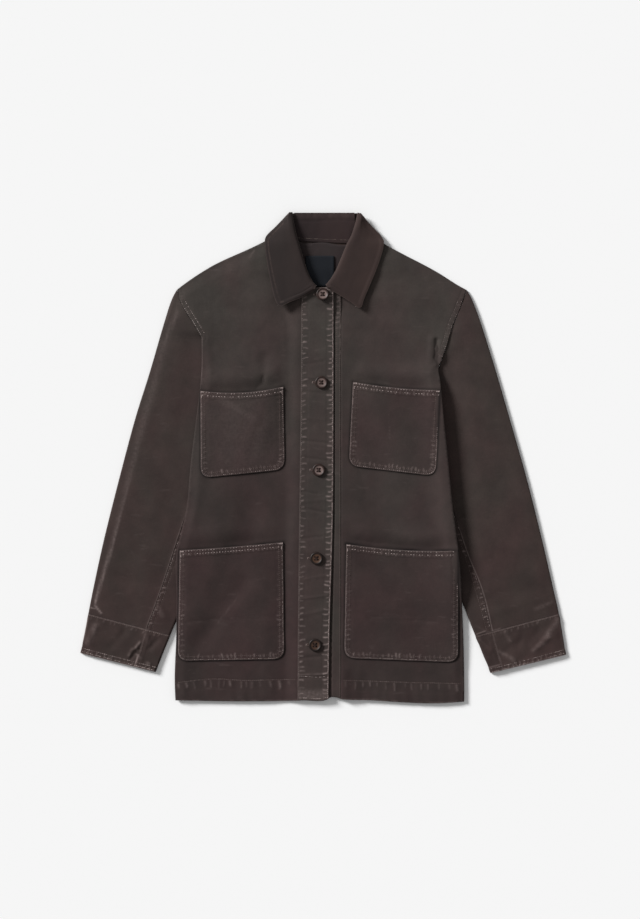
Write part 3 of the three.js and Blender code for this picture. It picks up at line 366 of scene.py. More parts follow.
def inset(outline, distance):
    """A closed outline moved inwards."""
    run = np.roll(outline, -1, axis=0) - np.roll(outline, 1, axis=0)
    run /= np.linalg.norm(run, axis=1)[:, None]
    return outline + distance * np.stack([-run[:, 1], run[:, 0]], 1)


# Heights of the layers.


def lift_over_sleeve(x, y, side):
    """How far the body is raised by the sleeve tucked under it, softened across X."""
    sign = OUTWARDS[side]
    sleeve = SLEEVE[side]
    fold_x = sign * np.interp(y, sleeve["inner_y"][::-1], sleeve["inner_x"][::-1])
    SHIFTS = (-12, -6, 0, 6, 12)
    raised = np.zeros(np.shape(x))
    for shift in SHIFTS:
        top_y = height_along(TUCKED[side], x + shift)
        past = np.minimum((sign * (x + shift) - fold_x) * 0.93, (top_y - y) * 0.8)
        raised += smooth((past + 15 + 38) / 38)
    return SLEEVE_STACK * raised / len(SHIFTS)


def edge_rise(x, y, edge_x, rise):
    along = smooth((150 - y) / 60) * smooth((y + 250) / 90)
    return rise * bell(x - edge_x, 27) * along


def body_edges(y):
    return np.interp(y, BODY["y"], BODY["right"]), np.interp(y, BODY["y"], BODY["left"])


def placket_x(column, y):
    """X of the placket's inner or outer edge."""
    return np.interp(y, PLACKET["y"][::-1], PLACKET[column][::-1])


def back_height(x, y):
    """Middle surface of the back panel."""
    right, left = body_edges(y)
    over_fall = smooth((y - (FALL_LOW - 44)) / 22) * smooth((FALL_HALF_WIDE + 44 - np.abs(x)) / 22)
    return (
        CLOTH / 2
        + lift_over_sleeve(x, y, "right")
        + lift_over_sleeve(x, y, "left")
        + edge_rise(x, y, right, RIGHT_EDGE_RISE)
        + edge_rise(x, y, left, LEFT_EDGE_RISE)
        + FALL_STACK * over_fall
    )


def fold_height(x, y, folds):
    height = np.zeros(np.shape(x))
    for from_x, from_y, to_x, to_y, up, wide in folds:
        run_x, run_y = to_x - from_x, to_y - from_y
        on = np.clip(((x - from_x) * run_x + (y - from_y) * run_y) / (run_x**2 + run_y**2), 0, 1)
        away = np.hypot(x - from_x - on * run_x, y - from_y - on * run_y)
        height += up * bell(away, wide)
    return height


def front_air(x, y):
    """Air between the back and the fronts. It closes at the side seams and the shoulders."""
    right, left = body_edges(y)
    shoulder_y = np.where(x < 0, height_along(SHOULDER["right"], x), height_along(SHOULDER["left"], x))
    below = smooth((170 - y) / 40)
    from_side = np.minimum(x - right, left - x) + (1 - below) * 60
    closing = smooth(from_side / 16) * smooth((shoulder_y - y) / 22)
    from_centre = smooth((np.abs(x + 10) - 45) / 40)
    least = 0.5 + 1.2 * smooth((y - 215) / 28)
    puff = 1.7 * from_centre * (1 - 0.6 * smooth((y - 200) / 60))
    air = least + puff + fold_height(x, y, FRONT_FOLDS)
    return 0.4 + closing * (np.clip(air, least, 3.3) - 0.4)


def lift_beside_placket(x, y):
    """The left front swells beside the placket's free edge, so that only a narrow gap is left there."""
    outer = placket_x("outer", y)
    gap = 0.6 + 2.2 * smooth((60 - y) / 400)
    rise = 2.1 + 1.4 * smooth((x - BAND[1] + 0.35) / 0.9)
    rise = rise * smooth((x - outer - gap) / 2.2)
    return rise * smooth((80 - x) / 54) * smooth((236 - y) / 40)


def front_height(x, y, side):
    """Middle surface of a front. The right one climbs over the button band."""
    height = back_height(x, y) + CLOTH + front_air(x, y)
    if side == "left":
        height += lift_beside_placket(x, y)
    if side == "right":
        height += OVERLAP_STACK * smooth((x - LAP[0]) / (LAP[1] - LAP[0])) * smooth((300 - y) / 32)
    return height


def lap_lift(x, y):
    """The free edge of the placket stands up, most of all towards the hem."""
    outer = placket_x("outer", y)
    return (0.3 + 0.5 * smooth((60 - y) / 330)) * bell(outer - x, 7) * smooth((250 - y) / 30)


def edge_flare(x, y):
    """The left side edge turns up a little over the sleeve."""
    _, left = body_edges(y)
    return 3.2 * bell(left - x, 15) * smooth((135 - y) / 60) * smooth((y + 235) / 90)


def mouth_dips(x, y, side):
    """The front sinks in just above each pocket's mouth, below a soft swelling."""
    height = np.zeros(np.shape(x))
    for pocket in POCKETS.values():
        if pocket["side"] != side:
            continue
        left_x, right_x = pocket["top_left"][0], pocket["top_right"][0]
        across = np.clip((x - left_x) / (right_x - left_x), 0, 1)
        above = y - pocket_mouth(pocket, across)
        within = smooth(6 * across * (1 - across))
        sunk = bell(above - 4, 8.5) - 0.9 * bell(above - 23, 12)
        height -= pocket["dip"] * within * sunk
    return height


def pocket_mouth(pocket, across):
    (_, left_y), (_, right_y) = pocket["top_left"], pocket["top_right"]
    return left_y + (right_y - left_y) * across - 4 * pocket["sag"] * across * (1 - across)


def front_shape(x, y, side):
    """Middle surface of a front with its creases, never lower than the back's cloth allows."""
    creases = fold_height(x, y, FRONT_CREASES) + mouth_dips(x, y, side)
    creases = np.maximum(creases, 0.5 - front_air(x, y))
    if side == "right":
        creases = creases + lap_lift(x, y)
    else:
        creases = creases + edge_flare(x, y)
    return front_height(x, y, side) + creases


def rumple(x, y, size, seed):
    """Very low uneven relief, as washed canvas has, from waves of mixed directions, within about 1."""
    rng = np.random.default_rng(seed)
    height = np.zeros(np.shape(x))
    WAVES = 9
    for _ in range(WAVES):
        angle = rng.uniform(0, math.pi)
        wave = size * rng.uniform(0.7, 1.6)
        phase = rng.uniform(0, 2 * math.pi)
        turn = (x * math.cos(angle) + y * math.sin(angle)) * 2 * math.pi / wave
        bend = 0.8 * np.sin((x * math.sin(angle) - y * math.cos(angle)) * 2 * math.pi / (wave * 2.3) + phase)
        height += np.sin(turn + bend + phase)
    return height / WAVES


# Sewn lines: rows of stitches, the groove that they pull and the puckers beside them.


class Seam:
    """A sewn line with rows of stitches at distances to its left.
    Slanted, uneven puckers run from near to far."""

    LANES = 9
    STEP = 0.5

    def __init__(self, line, rows, near, far, seed, spacing=8.5, height=0.5, width=1.1, least=0.4):
        self.line = np.asarray(line, float)
        self.rows = rows
        self.near = near
        self.far = far
        self.height = height
        rng = np.random.default_rng(seed)
        total = lengths(self.line)[-1]
        self.places = np.arange(0, total + 1, self.STEP)
        across = np.linspace(0, 1, self.LANES)
        self.ridges = np.zeros((len(self.places), self.LANES))
        place = spacing * rng.random()
        while place < total:
            strength = rng.uniform(least, 1) ** 1.4
            slant = rng.normal(0, 1.1)
            bend = rng.uniform(0.5, 3.5)
            reach = rng.uniform(0.55, 1.2)
            half = width * rng.uniform(0.6, 1.3)
            middle = place + slant * (across - 0.5) + bend * (across - 0.5) ** 2
            blob = bell(self.places[:, None] - middle, half) * smooth((reach - across) / 0.35)
            self.ridges = np.maximum(self.ridges, strength * blob)
            place += spacing * rng.uniform(0.62, 1.38)

    def ridge_at(self, along, away):
        """Height of the puckers, from 0 to 1, at distances along the seam and away from it."""
        lane = np.clip((away - self.near) / (self.far - self.near), 0, 1) * (self.LANES - 1)
        spot = np.clip(along / self.STEP, 0, len(self.places) - 1.001)
        i = spot.astype(int)
        j = np.minimum(lane.astype(int), self.LANES - 2)
        u = spot - i
        v = lane - j
        here = self.ridges[i, j] * (1 - u) + self.ridges[i + 1, j] * u
        there = self.ridges[i, j + 1] * (1 - u) + self.ridges[i + 1, j + 1] * u
        return here * (1 - v) + there * v

    def relief(self, x, y):
        """Height and wear that the seam adds at each point."""
        along, away = nearest(x, y, self.line)
        between = smooth((away - self.near) / 1.2 + 1) * smooth((self.far - away) / 1.2 + 1)
        ridge = self.ridge_at(along, away) * between
        groove = sum(bell(away - row, 0.9) for row in self.rows)
        return self.height * (ridge - 0.2 * between) - 0.25 * groove, ridge


def sewn_relief(x, y, seams):
    height = np.zeros(len(x))
    wear = np.zeros(len(x))
    for seam in seams:
        more, worn = seam.relief(x, y)
        height += more
        wear = np.maximum(wear, worn)
    return height, wear


class Threads:
    """Stitches of one piece of sewing, gathered into one mesh."""

    SIDES = 5
    SHAPE = [(0.0, 0.4, -0.3), (0.2, 1.0, 0.06), (0.8, 1.0, 0.06), (1.0, 0.4, -0.3)]

    def __init__(self, name, slot_name, radius=0.3):
        self.name = name
        self.slot_name = slot_name
        self.radius = radius
        self.starts = []
        self.ends = []
        self.worn = []
        self.rng = np.random.default_rng(len(name))

    def row(self, line, worn=0.4, pitch=3.0, share=0.78):
        """Stitches along a line of points in space. Worn is how many of them are rubbed pale."""
        line = np.asarray(line, float)
        places = lengths(line)
        count = int(places[-1] // pitch)
        if count < 1:
            return
        first = (places[-1] - count * pitch) / 2 + np.arange(count) * pitch
        for store, at in ((self.starts, first), (self.ends, first + pitch * share)):
            store.append(np.stack([np.interp(at, places, line[:, axis]) for axis in range(3)], 1))
        self.worn.append(np.clip(worn * self.rng.uniform(0, 2, count) ** 1.6, 0, 1))

    def bars(self, middle, along, length, width, count, worn=0.5):
        """A short bar tack: count stitches across a line from its middle."""
        along = np.asarray(along, float) / np.linalg.norm(along)
        across = np.array([-along[1], along[0], 0])
        steps = np.linspace(-length / 2, length / 2, count)
        lean = 0.25
        forward = np.array([along[0], along[1], 0])
        sites = np.asarray(middle, float) + steps[:, None] * forward
        reach = across * width / 2 + forward * lean
        self.starts.append(sites - reach)
        self.ends.append(sites + reach)
        self.worn.append(np.full(count, worn))

    def build(self):
        start = np.concatenate(self.starts)
        end = np.concatenate(self.ends)
        run = end - start
        run_size = np.linalg.norm(run, axis=1)[:, None]
        side = np.stack([-run[:, 1], run[:, 0], np.zeros(len(run))], 1)
        side /= np.linalg.norm(side, axis=1)[:, None]
        up = np.cross(run / run_size, side)
        rings = []
        for share, thick, lift in self.SHAPE:
            middle = start + share * run + np.array([0, 0, lift])
            for k in range(self.SIDES):
                angle = 2 * math.pi * k / self.SIDES
                reach = self.radius * thick
                rings.append(middle + reach * (math.cos(angle) * side + math.sin(angle) * up))
        per = len(self.SHAPE) * self.SIDES
        points = np.stack(rings, 1).reshape(-1, 3)
        shape = tube_faces(len(self.SHAPE), self.SIDES)
        faces = [[first + v for v in face] for first in range(0, len(points), per) for face in shape]
        piece = new_mesh(self.name, points, faces, np.repeat(np.concatenate(self.worn), per))
        piece.data.materials.append(materials[self.slot_name + "_thread"])
        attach(piece, "root")
        return piece


# Meshes.

materials = {}


# The wear attribute: pale wear where positive, painted shade where negative, a few painted highlights, and on the
# buttons the mask of their painted light and shade.
def set_wear_and_painted_light(mesh, wear):
    layer = mesh.attributes.new("wear", "FLOAT", "POINT")
    layer.data.foreach_set("value", np.asarray(wear, np.float32))


def new_mesh(name, points, faces, wear=None):
    mesh = bpy.data.meshes.new(name)
    mesh.from_pydata((np.asarray(points) * MM).tolist(), [], faces)
    mesh.validate()
    mesh.shade_smooth()
    mesh.set_sharp_from_angle(angle=math.radians(60))
    if wear is not None:
        set_wear_and_painted_light(mesh, wear)
    piece = bpy.data.objects.new(name, mesh)
    bpy.context.scene.collection.objects.link(piece)
    return piece


def tube_faces(rings, sides):
    """Faces round a stack of rings of points, closed at both ends."""
    faces = []
    for ring in range(rings - 1):
        for k in range(sides):
            a = ring * sides + k
            b = ring * sides + (k + 1) % sides
            faces.append([a, b, b + sides, a + sides])
    last = (rings - 1) * sides
    return [*faces, list(range(sides - 1, -1, -1)), list(range(last, last + sides))]


def circle(reach, z, sides, middle=(0, 0)):
    angles = 2 * math.pi * np.arange(sides) / sides
    x = middle[0] + reach * np.cos(angles)
    y = middle[1] + reach * np.sin(angles)
    return np.column_stack([x, y, np.full(sides, float(z))])


def finish_cloth(piece, node, slot_name, area, look=None):
    piece.data.materials.append(materials[look or slot_name])
    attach(piece, "root")
    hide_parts(node)


def finish_cut(piece, node, slot_name, outline, look=None):
    """Finishes cloth whose flat cut is its outline."""
    finish_cloth(piece, node, slot_name, area_of(outline), look)


def fill(outline, small, spacing):
    """Staggered points inside an outline, 1, 2 or 4 small steps apart as spacing says."""
    low, high = outline.min(0), outline.max(0)
    rows = np.arange(low[1] + small / 2, high[1], small * 0.87)
    columns = np.arange(low[0] + small / 2, high[0], small)
    i, j = np.meshgrid(np.arange(len(rows)), np.arange(len(columns)), indexing="ij")
    x = (columns[j] + (i % 2) * small / 2).ravel()
    y = rows[i].ravel()
    i, j = i.ravel(), j.ravel()
    wanted = spacing(x, y)
    keep = np.zeros(len(x), bool)
    for step in (1, 2, 4):
        lattice = (i % step == 0) & (j % step == (step // 2) * ((i // step) % 2))
        keep |= lattice & (wanted <= step)
    x, y, wanted = x[keep], y[keep], wanted[keep]
    keep = inside(x, y, outline)
    x, y, wanted = x[keep], y[keep], wanted[keep]
    _, away = nearest(x, y, outline, closed=True)
    keep = np.abs(away) > 0.55 * np.minimum(wanted * small, 2.5)
    return np.stack([x[keep], y[keep]], 1)


def everywhere(step):
    """Spacing that is the same all over."""
    return lambda x, y: np.full(len(x), step)


def triangles(outline, extra):
    """Points and triangles that fill an outline through the extra points."""
    points = np.concatenate([outline, extra])
    count = len(outline)
    edges = [(k, (k + 1) % count) for k in range(count)]
    made = delaunay_2d_cdt([Vector(p) for p in points], edges, [], 1, 1e-4)
    assert len(made[0]) == len(points), "the outline crosses itself"
    return points, [list(face) for face in made[2]]


def shell(name, outline, top, under, small, spacing, wear=None, drop=None, under_step=14.0):
    """Closed cloth between two surfaces over an outline, with a rounded edge.
    drop gives how far the lower edge reaches down to what it is sewn to."""
    upper_ring = inset(outline, 0.5)
    lower_ring = inset(outline, 0.35)
    upper, upper_faces = triangles(upper_ring, fill(upper_ring, small, spacing))
    lower, lower_faces = triangles(lower_ring, fill(lower_ring, under_step, everywhere(1)))
    upper_z = top(*upper.T)
    lower_z = under(*lower.T)
    count = len(outline)
    edge_z = 0.45 * upper_z[:count] + 0.55 * lower_z[:count]
    if drop is not None:
        lower_z[:count] -= drop(*outline.T)
    levels = ((upper, upper_z), (outline, edge_z), (lower, lower_z))
    points = np.concatenate([np.column_stack(level) for level in levels])
    middle = len(upper)
    bottom = middle + count
    faces = list(upper_faces)
    for k in range(count):
        n = (k + 1) % count
        faces.append([k, middle + k, middle + n, n])
        faces.append([middle + k, bottom + k, bottom + n, middle + n])
    faces += [[bottom + v for v in reversed(face)] for face in lower_faces]
    worn = None
    if wear is not None:
        worn = np.concatenate([wear(*upper.T), wear(*outline.T), np.zeros(len(lower))])
    return new_mesh(name, points, faces, worn)


def sheet_between(name, outer, inner, wear, ring=False):
    """Closed cloth between two grids of points. A ring grid joins its last column to its first."""
    rows, columns = outer.shape[:2]
    points = np.concatenate([outer.reshape(-1, 3), inner.reshape(-1, 3)])
    count = rows * columns
    i, j = np.meshgrid(np.arange(rows - 1), np.arange(columns if ring else columns - 1), indexing="ij")
    a = (i * columns + j).ravel()
    b = (i * columns + (j + 1) % columns).ravel()
    faces = np.stack([a, b, b + columns, a + columns], 1)
    faces = [*faces.tolist(), *(faces[:, ::-1] + count).tolist()]
    for k in range(columns if ring else columns - 1):
        n = (k + 1) % columns
        faces.append([k, k + count, n + count, n])
        last = (rows - 1) * columns
        faces.append([last + k, last + n, last + n + count, last + k + count])
    if not ring:
        for k in range(rows - 1):
            first = k * columns
            last = first + columns - 1
            faces.append([first, first + columns, first + columns + count, first + count])
            faces.append([last, last + count, last + columns + count, last + columns])
    return new_mesh(name, points, faces, np.concatenate([wear.ravel(), np.zeros(count)]))


def grid_normals(grid, ring=False):
    if ring:
        across = np.roll(grid, -1, axis=1) - np.roll(grid, 1, axis=1)
    else:
        across = np.gradient(grid, axis=1)
    along = np.gradient(grid, axis=0)
    normal = np.cross(across, along)
    return normal / np.linalg.norm(normal, axis=2)[:, :, None]


def surface_line(line, top):
    """A line in the plane, lifted onto a surface."""
    return np.column_stack([line, top(*line.T)])


def offset(line, distance):
    """An open line moved to its left."""
    run = np.gradient(line, axis=0)
    run /= np.linalg.norm(run, axis=1)[:, None]
    return line + distance * np.stack([-run[:, 1], run[:, 0]], 1)


# Looks.


def srgb(red, green, blue):
    """Linear colour of an sRGB one given in 8 bits."""
    shares = (red / 255, green / 255, blue / 255)
    return tuple(c / 12.92 if c <= 0.04045 else ((c + 0.055) / 1.055) ** 2.4 for c in shares)


SLOTS = {m["slot"]: tuple(m["base_color"][:3]) for m in frame["record"]["materials"]}
# pale colour of rubbed wear, also used for a few painted highlights
WEAR_AND_HIGHLIGHT_COLOUR = srgb(134, 119, 116)
THREAD_COLOUR = srgb(84, 70, 66)
PALE_THREAD = srgb(194, 178, 174)


class Graph:
    """Short ways to make and link shader nodes."""

    def __init__(self, name, roughness, specular=0.3, sheen=0.0, sheen_roughness=0.4, coat=0.0):
        made = bpy.data.materials.new(name)
        made.use_nodes = True
        self.material = made
        self.nodes = made.node_tree.nodes
        self.links = made.node_tree.links
        self.shader = self.nodes["Principled BSDF"]
        self.set(self.shader, "Roughness", roughness)
        self.set(self.shader, "Specular IOR Level", specular)
        self.set(self.shader, "Sheen Weight", sheen)
        self.set(self.shader, "Sheen Roughness", sheen_roughness)
        self.set(self.shader, "Coat Weight", coat)
        self.set(self.shader, "Coat Roughness", 0.3)
        self.coordinates = self.nodes.new("ShaderNodeTexCoord").outputs["Object"]

    @staticmethod
    def set(node, key, value):
        node.inputs[key].default_value = value

    def put(self, value, socket):
        if isinstance(value, bpy.types.NodeSocket):
            self.links.new(value, socket)
        elif isinstance(value, tuple) and len(value) == 3 and socket.type == "RGBA":
            socket.default_value = (*value, 1)
        else:
            socket.default_value = value

    def noise(self, scale, detail=2.0, roughness=0.5, stretch=None, distortion=0.0):
        node = self.nodes.new("ShaderNodeTexNoise")
        self.set(node, "Scale", scale)
        self.set(node, "Detail", detail)
        self.set(node, "Roughness", roughness)
        self.set(node, "Distortion", distortion)
        source = self.coordinates
        if stretch:
            mapping = self.nodes.new("ShaderNodeMapping")
            self.set(mapping, "Scale", stretch)
            self.links.new(source, mapping.inputs["Vector"])
            source = mapping.outputs["Vector"]
        self.links.new(source, node.inputs["Vector"])
        return node.outputs["Fac"]

    def wave(self, direction, scale, distortion=0.6):
        node = self.nodes.new("ShaderNodeTexWave")
        node.bands_direction = direction
        self.set(node, "Scale", scale)
        self.set(node, "Distortion", distortion)
        self.set(node, "Detail", 1.0)
        self.set(node, "Detail Scale", 1.5)
        self.links.new(self.coordinates, node.inputs["Vector"])
        return node.outputs["Fac"]

    def spread(self, value, low, high, to_low=0.0, to_high=1.0):
        """Maps a value's range onto another, held at the ends."""
        node = self.nodes.new("ShaderNodeMapRange")
        self.put(value, node.inputs["Value"])
        for key, number in (("From Min", low), ("From Max", high), ("To Min", to_low), ("To Max", to_high)):
            self.set(node, key, number)
        return node.outputs["Result"]

    def sum(self, operation, a, b):
        node = self.nodes.new("ShaderNodeMath")
        node.operation = operation
        self.put(a, node.inputs[0])
        self.put(b, node.inputs[1])
        return node.outputs["Value"]

    def mix(self, share, a, b, blend="MIX"):
        node = self.nodes.new("ShaderNodeMix")
        node.data_type = "RGBA"
        node.blend_type = blend
        self.put(share, node.inputs[0])
        self.put(a, node.inputs[6])
        self.put(b, node.inputs[7])
        return node.outputs[2]

    def attribute(self, name):
        node = self.nodes.new("ShaderNodeAttribute")
        node.attribute_name = name
        return node.outputs["Fac"]

    def bump(self, height, distance, strength=1.0, under=None):
        node = self.nodes.new("ShaderNodeBump")
        self.set(node, "Distance", distance)
        self.set(node, "Strength", strength)
        self.put(height, node.inputs["Height"])
        if under:
            self.links.new(under, node.inputs["Normal"])
        return node.outputs["Normal"]

    def axis(self, name):
        """One coordinate of the place on the object."""
        node = self.nodes.new("ShaderNodeSeparateXYZ")
        self.links.new(self.coordinates, node.inputs["Vector"])
        return node.outputs[name]

    def finish(self, name, colour, normal):
        self.links.new(colour, self.shader.inputs["Base Color"])
        self.links.new(normal, self.shader.inputs["Normal"])
        materials[name] = self.material


def scaled(colour, red, green, blue):
    return (colour[0] * red, colour[1] * green, colour[2] * blue)


TONE = 0.84  # the cloth's colour under its sheen and gloss


def canvas(name, slot_name, top=(1.13, 1.1, 1.05), low=(0.85, 0.67, 0.68)):
    """Washed, garment-dyed cotton canvas: mottled brown and grey-green, a fine twill, and rubbed seams.
    Its colour goes from the top's at the shoulders to the low one at the hem."""
    g = Graph(name + "_finish", 0.9, specular=0.15, sheen=0.05, sheen_roughness=0.5)
    base = scaled(SLOTS[slot_name], TONE, TONE, TONE)
    down = g.spread(g.axis("Y"), 0.3, -0.22)
    cloth = g.mix(down, scaled(base, *top), scaled(base, *low))
    mottle = g.spread(g.noise(13, 3, 0.55, (1, 0.6, 1)), 0.36, 0.64)
    cloth = g.mix(1.0, cloth, g.mix(mottle, (1.06, 0.965, 0.98), (0.95, 1.035, 1.0)), "MULTIPLY")
    clouds = g.spread(g.noise(30, 4, 0.6), 0.3, 0.7)
    cloth = g.mix(1.0, cloth, g.mix(clouds, (0.86, 0.86, 0.86), (1.16, 1.15, 1.14)), "MULTIPLY")
    twill = g.wave("DIAGONAL", 520, 0.5)
    threads = g.sum("MULTIPLY", g.noise(700, 2, 0.6, (1, 0.25, 1)), g.noise(700, 2, 0.6, (0.25, 1, 1)))
    # positive wear paints rubbed wear pale, with a few painted highlights among it
    rub_and_highlight = g.sum("MULTIPLY", g.attribute("wear"), g.spread(g.noise(240, 3, 0.6), 0.3, 0.62, 0.4, 1.0))
    flecks = g.spread(g.noise(120, 2, 0.5, (0.3, 1, 1)), 0.66, 0.8, 0.0, 0.07)
    cloth = g.mix(g.sum("MAXIMUM", rub_and_highlight, flecks), cloth, WEAR_AND_HIGHLIGHT_COLOUR)
    # negative wear is painted shade: it darkens the cloth round and above the pockets, along folds over the
    # pockets and on the sleeves' under pieces
    painted_shade = g.spread(g.attribute("wear"), 0.0, -1.0)
    cloth = g.mix(painted_shade, cloth, scaled(base, 0.16, 0.13, 0.13))
    cloth = g.mix(g.spread(threads, 0.15, 0.4, 0.2, 0.0), cloth, scaled(base, 0.5, 0.5, 0.5))
    soft = g.bump(g.noise(60, 3, 0.55), 0.0006, 0.35)
    fine = g.bump(twill, 0.00012, 0.4, soft)
    g.finish(name, cloth, g.bump(threads, 0.0002, 0.5, fine))


def brushed(slot_name):
    """Brushed cotton with a short nap, darkest where it turns away, with painted shade that darkens its -X side.
    """
    g = Graph(slot_name + "_finish", 0.95, specular=0.15, sheen=0.35, sheen_roughness=0.35)
    base = SLOTS[slot_name]
    g.shader.inputs["Sheen Tint"].default_value = (0.75, 0.62, 0.58, 1)
    nap = g.spread(g.noise(18, 4, 0.6, (1, 0.5, 1)), 0.35, 0.65)
    cloth = g.mix(nap, scaled(base, 0.86, 0.84, 0.86), scaled(base, 1.1, 1.03, 1.02))
    # painted shade: the right leaf (-X) darker, the left leaf (+X) lighter
    painted_side_shade = g.mix(g.spread(g.axis("X"), -0.06, 0.03), (0.64, 0.67, 0.69), (1.17, 1.06, 1.04))
    cloth = g.mix(1.0, cloth, painted_side_shade, "MULTIPLY")
    # rubbed wear, with a painted highlight on the right leaf's topstitch ridge
    rub_and_highlight = g.sum("MULTIPLY", g.attribute("wear"), g.spread(g.noise(260, 3, 0.6), 0.35, 0.6, 0.3, 0.8))
    cloth = g.mix(rub_and_highlight, cloth, scaled(WEAR_AND_HIGHLIGHT_COLOUR, 0.6, 0.55, 0.52))
    pile = g.bump(g.noise(1500, 2, 0.6), 0.00025, 0.5)
    g.finish(slot_name, cloth, g.bump(g.noise(70, 3, 0.5), 0.0006, 0.4, pile))


def ribbon(slot_name):
    """Dense woven ribbon with a faint satin gloss."""
    g = Graph(slot_name + "_finish", 0.8, specular=0.12)
    base = SLOTS[slot_name]
    rows = g.wave("Y", 420, 0.2)
    cloth = g.mix(rows, scaled(base, 0.7, 0.72, 0.75), scaled(base, 1.0, 1.0, 1.0))
    g.finish(slot_name, cloth, g.bump(rows, 0.00015, 0.5))


def nut(slot_name, warmth):
    """Dyed nut button: cloudy colour and a fine grain bump."""
    g = Graph(slot_name + "_finish", 0.5, specular=0.32, coat=0.05)
    base = SLOTS[slot_name]
    cloud = g.spread(g.noise(320, 3, 0.6, distortion=0.6), 0.35, 0.65)
    # painted light and shade: the dish pale, the rim painted dark as the shade of its rounded edge, and the
    # middle round the holes dark
    dish = g.attribute("wear")
    rim = g.mix(cloud, scaled(base, 0.14, 0.07, 0.05), scaled(base, 0.34, 0.2, 0.15))
    middle = g.mix(cloud, scaled(base, 1.6, 1.55, 1.5), scaled(base, 2.3, 2.25, 2.2))
    middle = g.mix(1.0, middle, warmth, "MULTIPLY")
    g.finish(slot_name, g.mix(dish, rim, middle), g.bump(g.noise(900, 2, 0.5), 0.00005, 0.5))


def thread(slot_name, colour=THREAD_COLOUR, pale=PALE_THREAD):
    g = Graph(slot_name + "_thread_finish", 0.75, specular=0.2)
    twist = g.noise(1800, 2, 0.5)
    dyed = g.mix(twist, scaled(colour, 0.8, 0.78, 0.78), scaled(colour, 1.2, 1.2, 1.2))
    colour = g.mix(g.attribute("wear"), dyed, pale)
    g.finish(slot_name + "_thread", colour, g.bump(twist, 0.0001, 0.6))


def make_materials():
    canvas("canvas_body", "canvas_body")
    canvas("canvas_placket", "canvas_placket", (1.14, 1.12, 1.09), (0.97, 0.86, 0.85))
    canvas("canvas_sleeve", "canvas_sleeve", (1.22, 1.2, 1.2), (1.08, 0.94, 0.95))
    canvas("canvas_pocket", "canvas_pocket", (1.24, 1.27, 1.22), (1.06, 0.97, 0.97))
    for slot_name in ("canvas_body", "canvas_placket", "canvas_sleeve", "canvas_pocket"):
        thread(slot_name)
    # the back's inside, seen in the neck opening, is painted darker at the top as shade under the collar
    canvas("canvas_back_painted_shade", "canvas_body", top=(0.66, 0.6, 0.64))
    for slot_name in ("collar_cloth", "collar_inner"):
        brushed(slot_name)
        thread(slot_name, srgb(60, 50, 46), srgb(120, 108, 100))
    ribbon("label_cloth")
    for slot_name, warmth in (("button_light", (1.0, 1.0, 1.0)), ("button_dark", (0.95, 0.81, 0.66))):
        nut(slot_name, warmth)
        thread(slot_name, srgb(46, 34, 31))


# The body panels.

RIGHT_SIDE = curve(SIDE["right"])
LEFT_SIDE = curve(SIDE["left"])
HEM_LINE = curve(HEM)


def hem_between(from_x, to_x, raised=0.0):
    kept = HEM_LINE[(HEM_LINE[:, 0] > from_x + 0.5) & (HEM_LINE[:, 0] < to_x - 0.5)]
    ends = [(x, np.interp(x, HEM_LINE[:, 0], HEM_LINE[:, 1])) for x in (from_x, to_x)]
    return np.array([ends[0], *kept, ends[1]]) + np.array([0, raised])


def placket_edge(column, step=2.5):
    return curve(np.column_stack([PLACKET[column], PLACKET["y"]]), step)


HEM_STITCH_POINTS = [(-222, -336.5), (-164, -331), (-124, -333), (-60, -332), (6, -332), (60, -334)]
HEM_STITCH = curve([*HEM_STITCH_POINTS, (120, -336), (209, -338)])[::-1]
HEM_SEAM = Seam(HEM_STITCH, [0], 2.5, 15, seed=21, spacing=12, height=0.8, width=1.8)
BODY_SEAMS = {
    "right": [
        HEM_SEAM,
        Seam(curve(ARMHOLE["right"])[::-1], [-1.2, -7], -6.4, -2, seed=22, spacing=5, height=0.12),
    ],
    "left": [
        HEM_SEAM,
        Seam(curve(ARMHOLE["left"])[::-1], [1.2, 7], 2, 6.4, seed=23, spacing=6, height=0.12),
    ],
}
FRONT_RUBS = [  # lines of wear: from, to, half width and strength
    (-105, 311, -113, 300, 1.4, 0.2),
    (184, 299, 178, 288, 1.2, 0.3),
    (-183.4, 180, -183.6, 110, 0.9, 0.2),
]
POCKET_PAINTED_SHADE = [  # painted shade along soft folds over the pockets: from, to, half width and strength
    (48, -148, 128, -216, 17, 0.12),
    (78, 78, 116, 50, 15, 0.06),
    (-122, -150, -128, -206, 12, 0.06),
]
POCKET_RUBS = [
    (-204, -247, -150, -241, 0.9, 0.08),
    (-140, -240, -82, -236, 0.9, 0.05),
    (72, -239, 118, -240, 0.9, 0.05),
    (128, -243, 170, -248, 0.9, 0.07),
    (-128, -206, -160, -248, 1.2, 0.1),
    (96, 66, 98, 30, 0.8, 0.12),
    (-126, 52, -118, 24, 62, 0.08),
    # painted highlight along the crest of the right chest pocket's fold
    (-150, 84, -106, 58, 9, 0.13),
]


def painted_pocket_shadows(x, y, side):
    """Painted shadow, kept as negative wear: a dark line close round the pockets, most of all above their mouths.
    """
    dark = np.zeros(np.shape(x))
    for pocket in POCKETS.values():
        if pocket["side"] != side:
            continue
        mouth, around = pocket_outline(pocket)
        near = (np.abs(x - around[:, 0].mean()) < 110) & (np.abs(y - around[:, 1].mean()) < 120)
        _, from_edge = nearest(x[near], y[near], around)
        _, from_mouth = nearest(x[near], y[near], mouth)
        edge = 0.9 * bell(from_edge, 2.3)
        above = pocket["dark"] * bell(from_mouth, 3.3) * (0.75 + rumple(x[near], y[near], 40, 15))
        dark[near] = np.maximum(dark[near], np.clip(np.maximum(edge, above), 0, 1))
    return dark


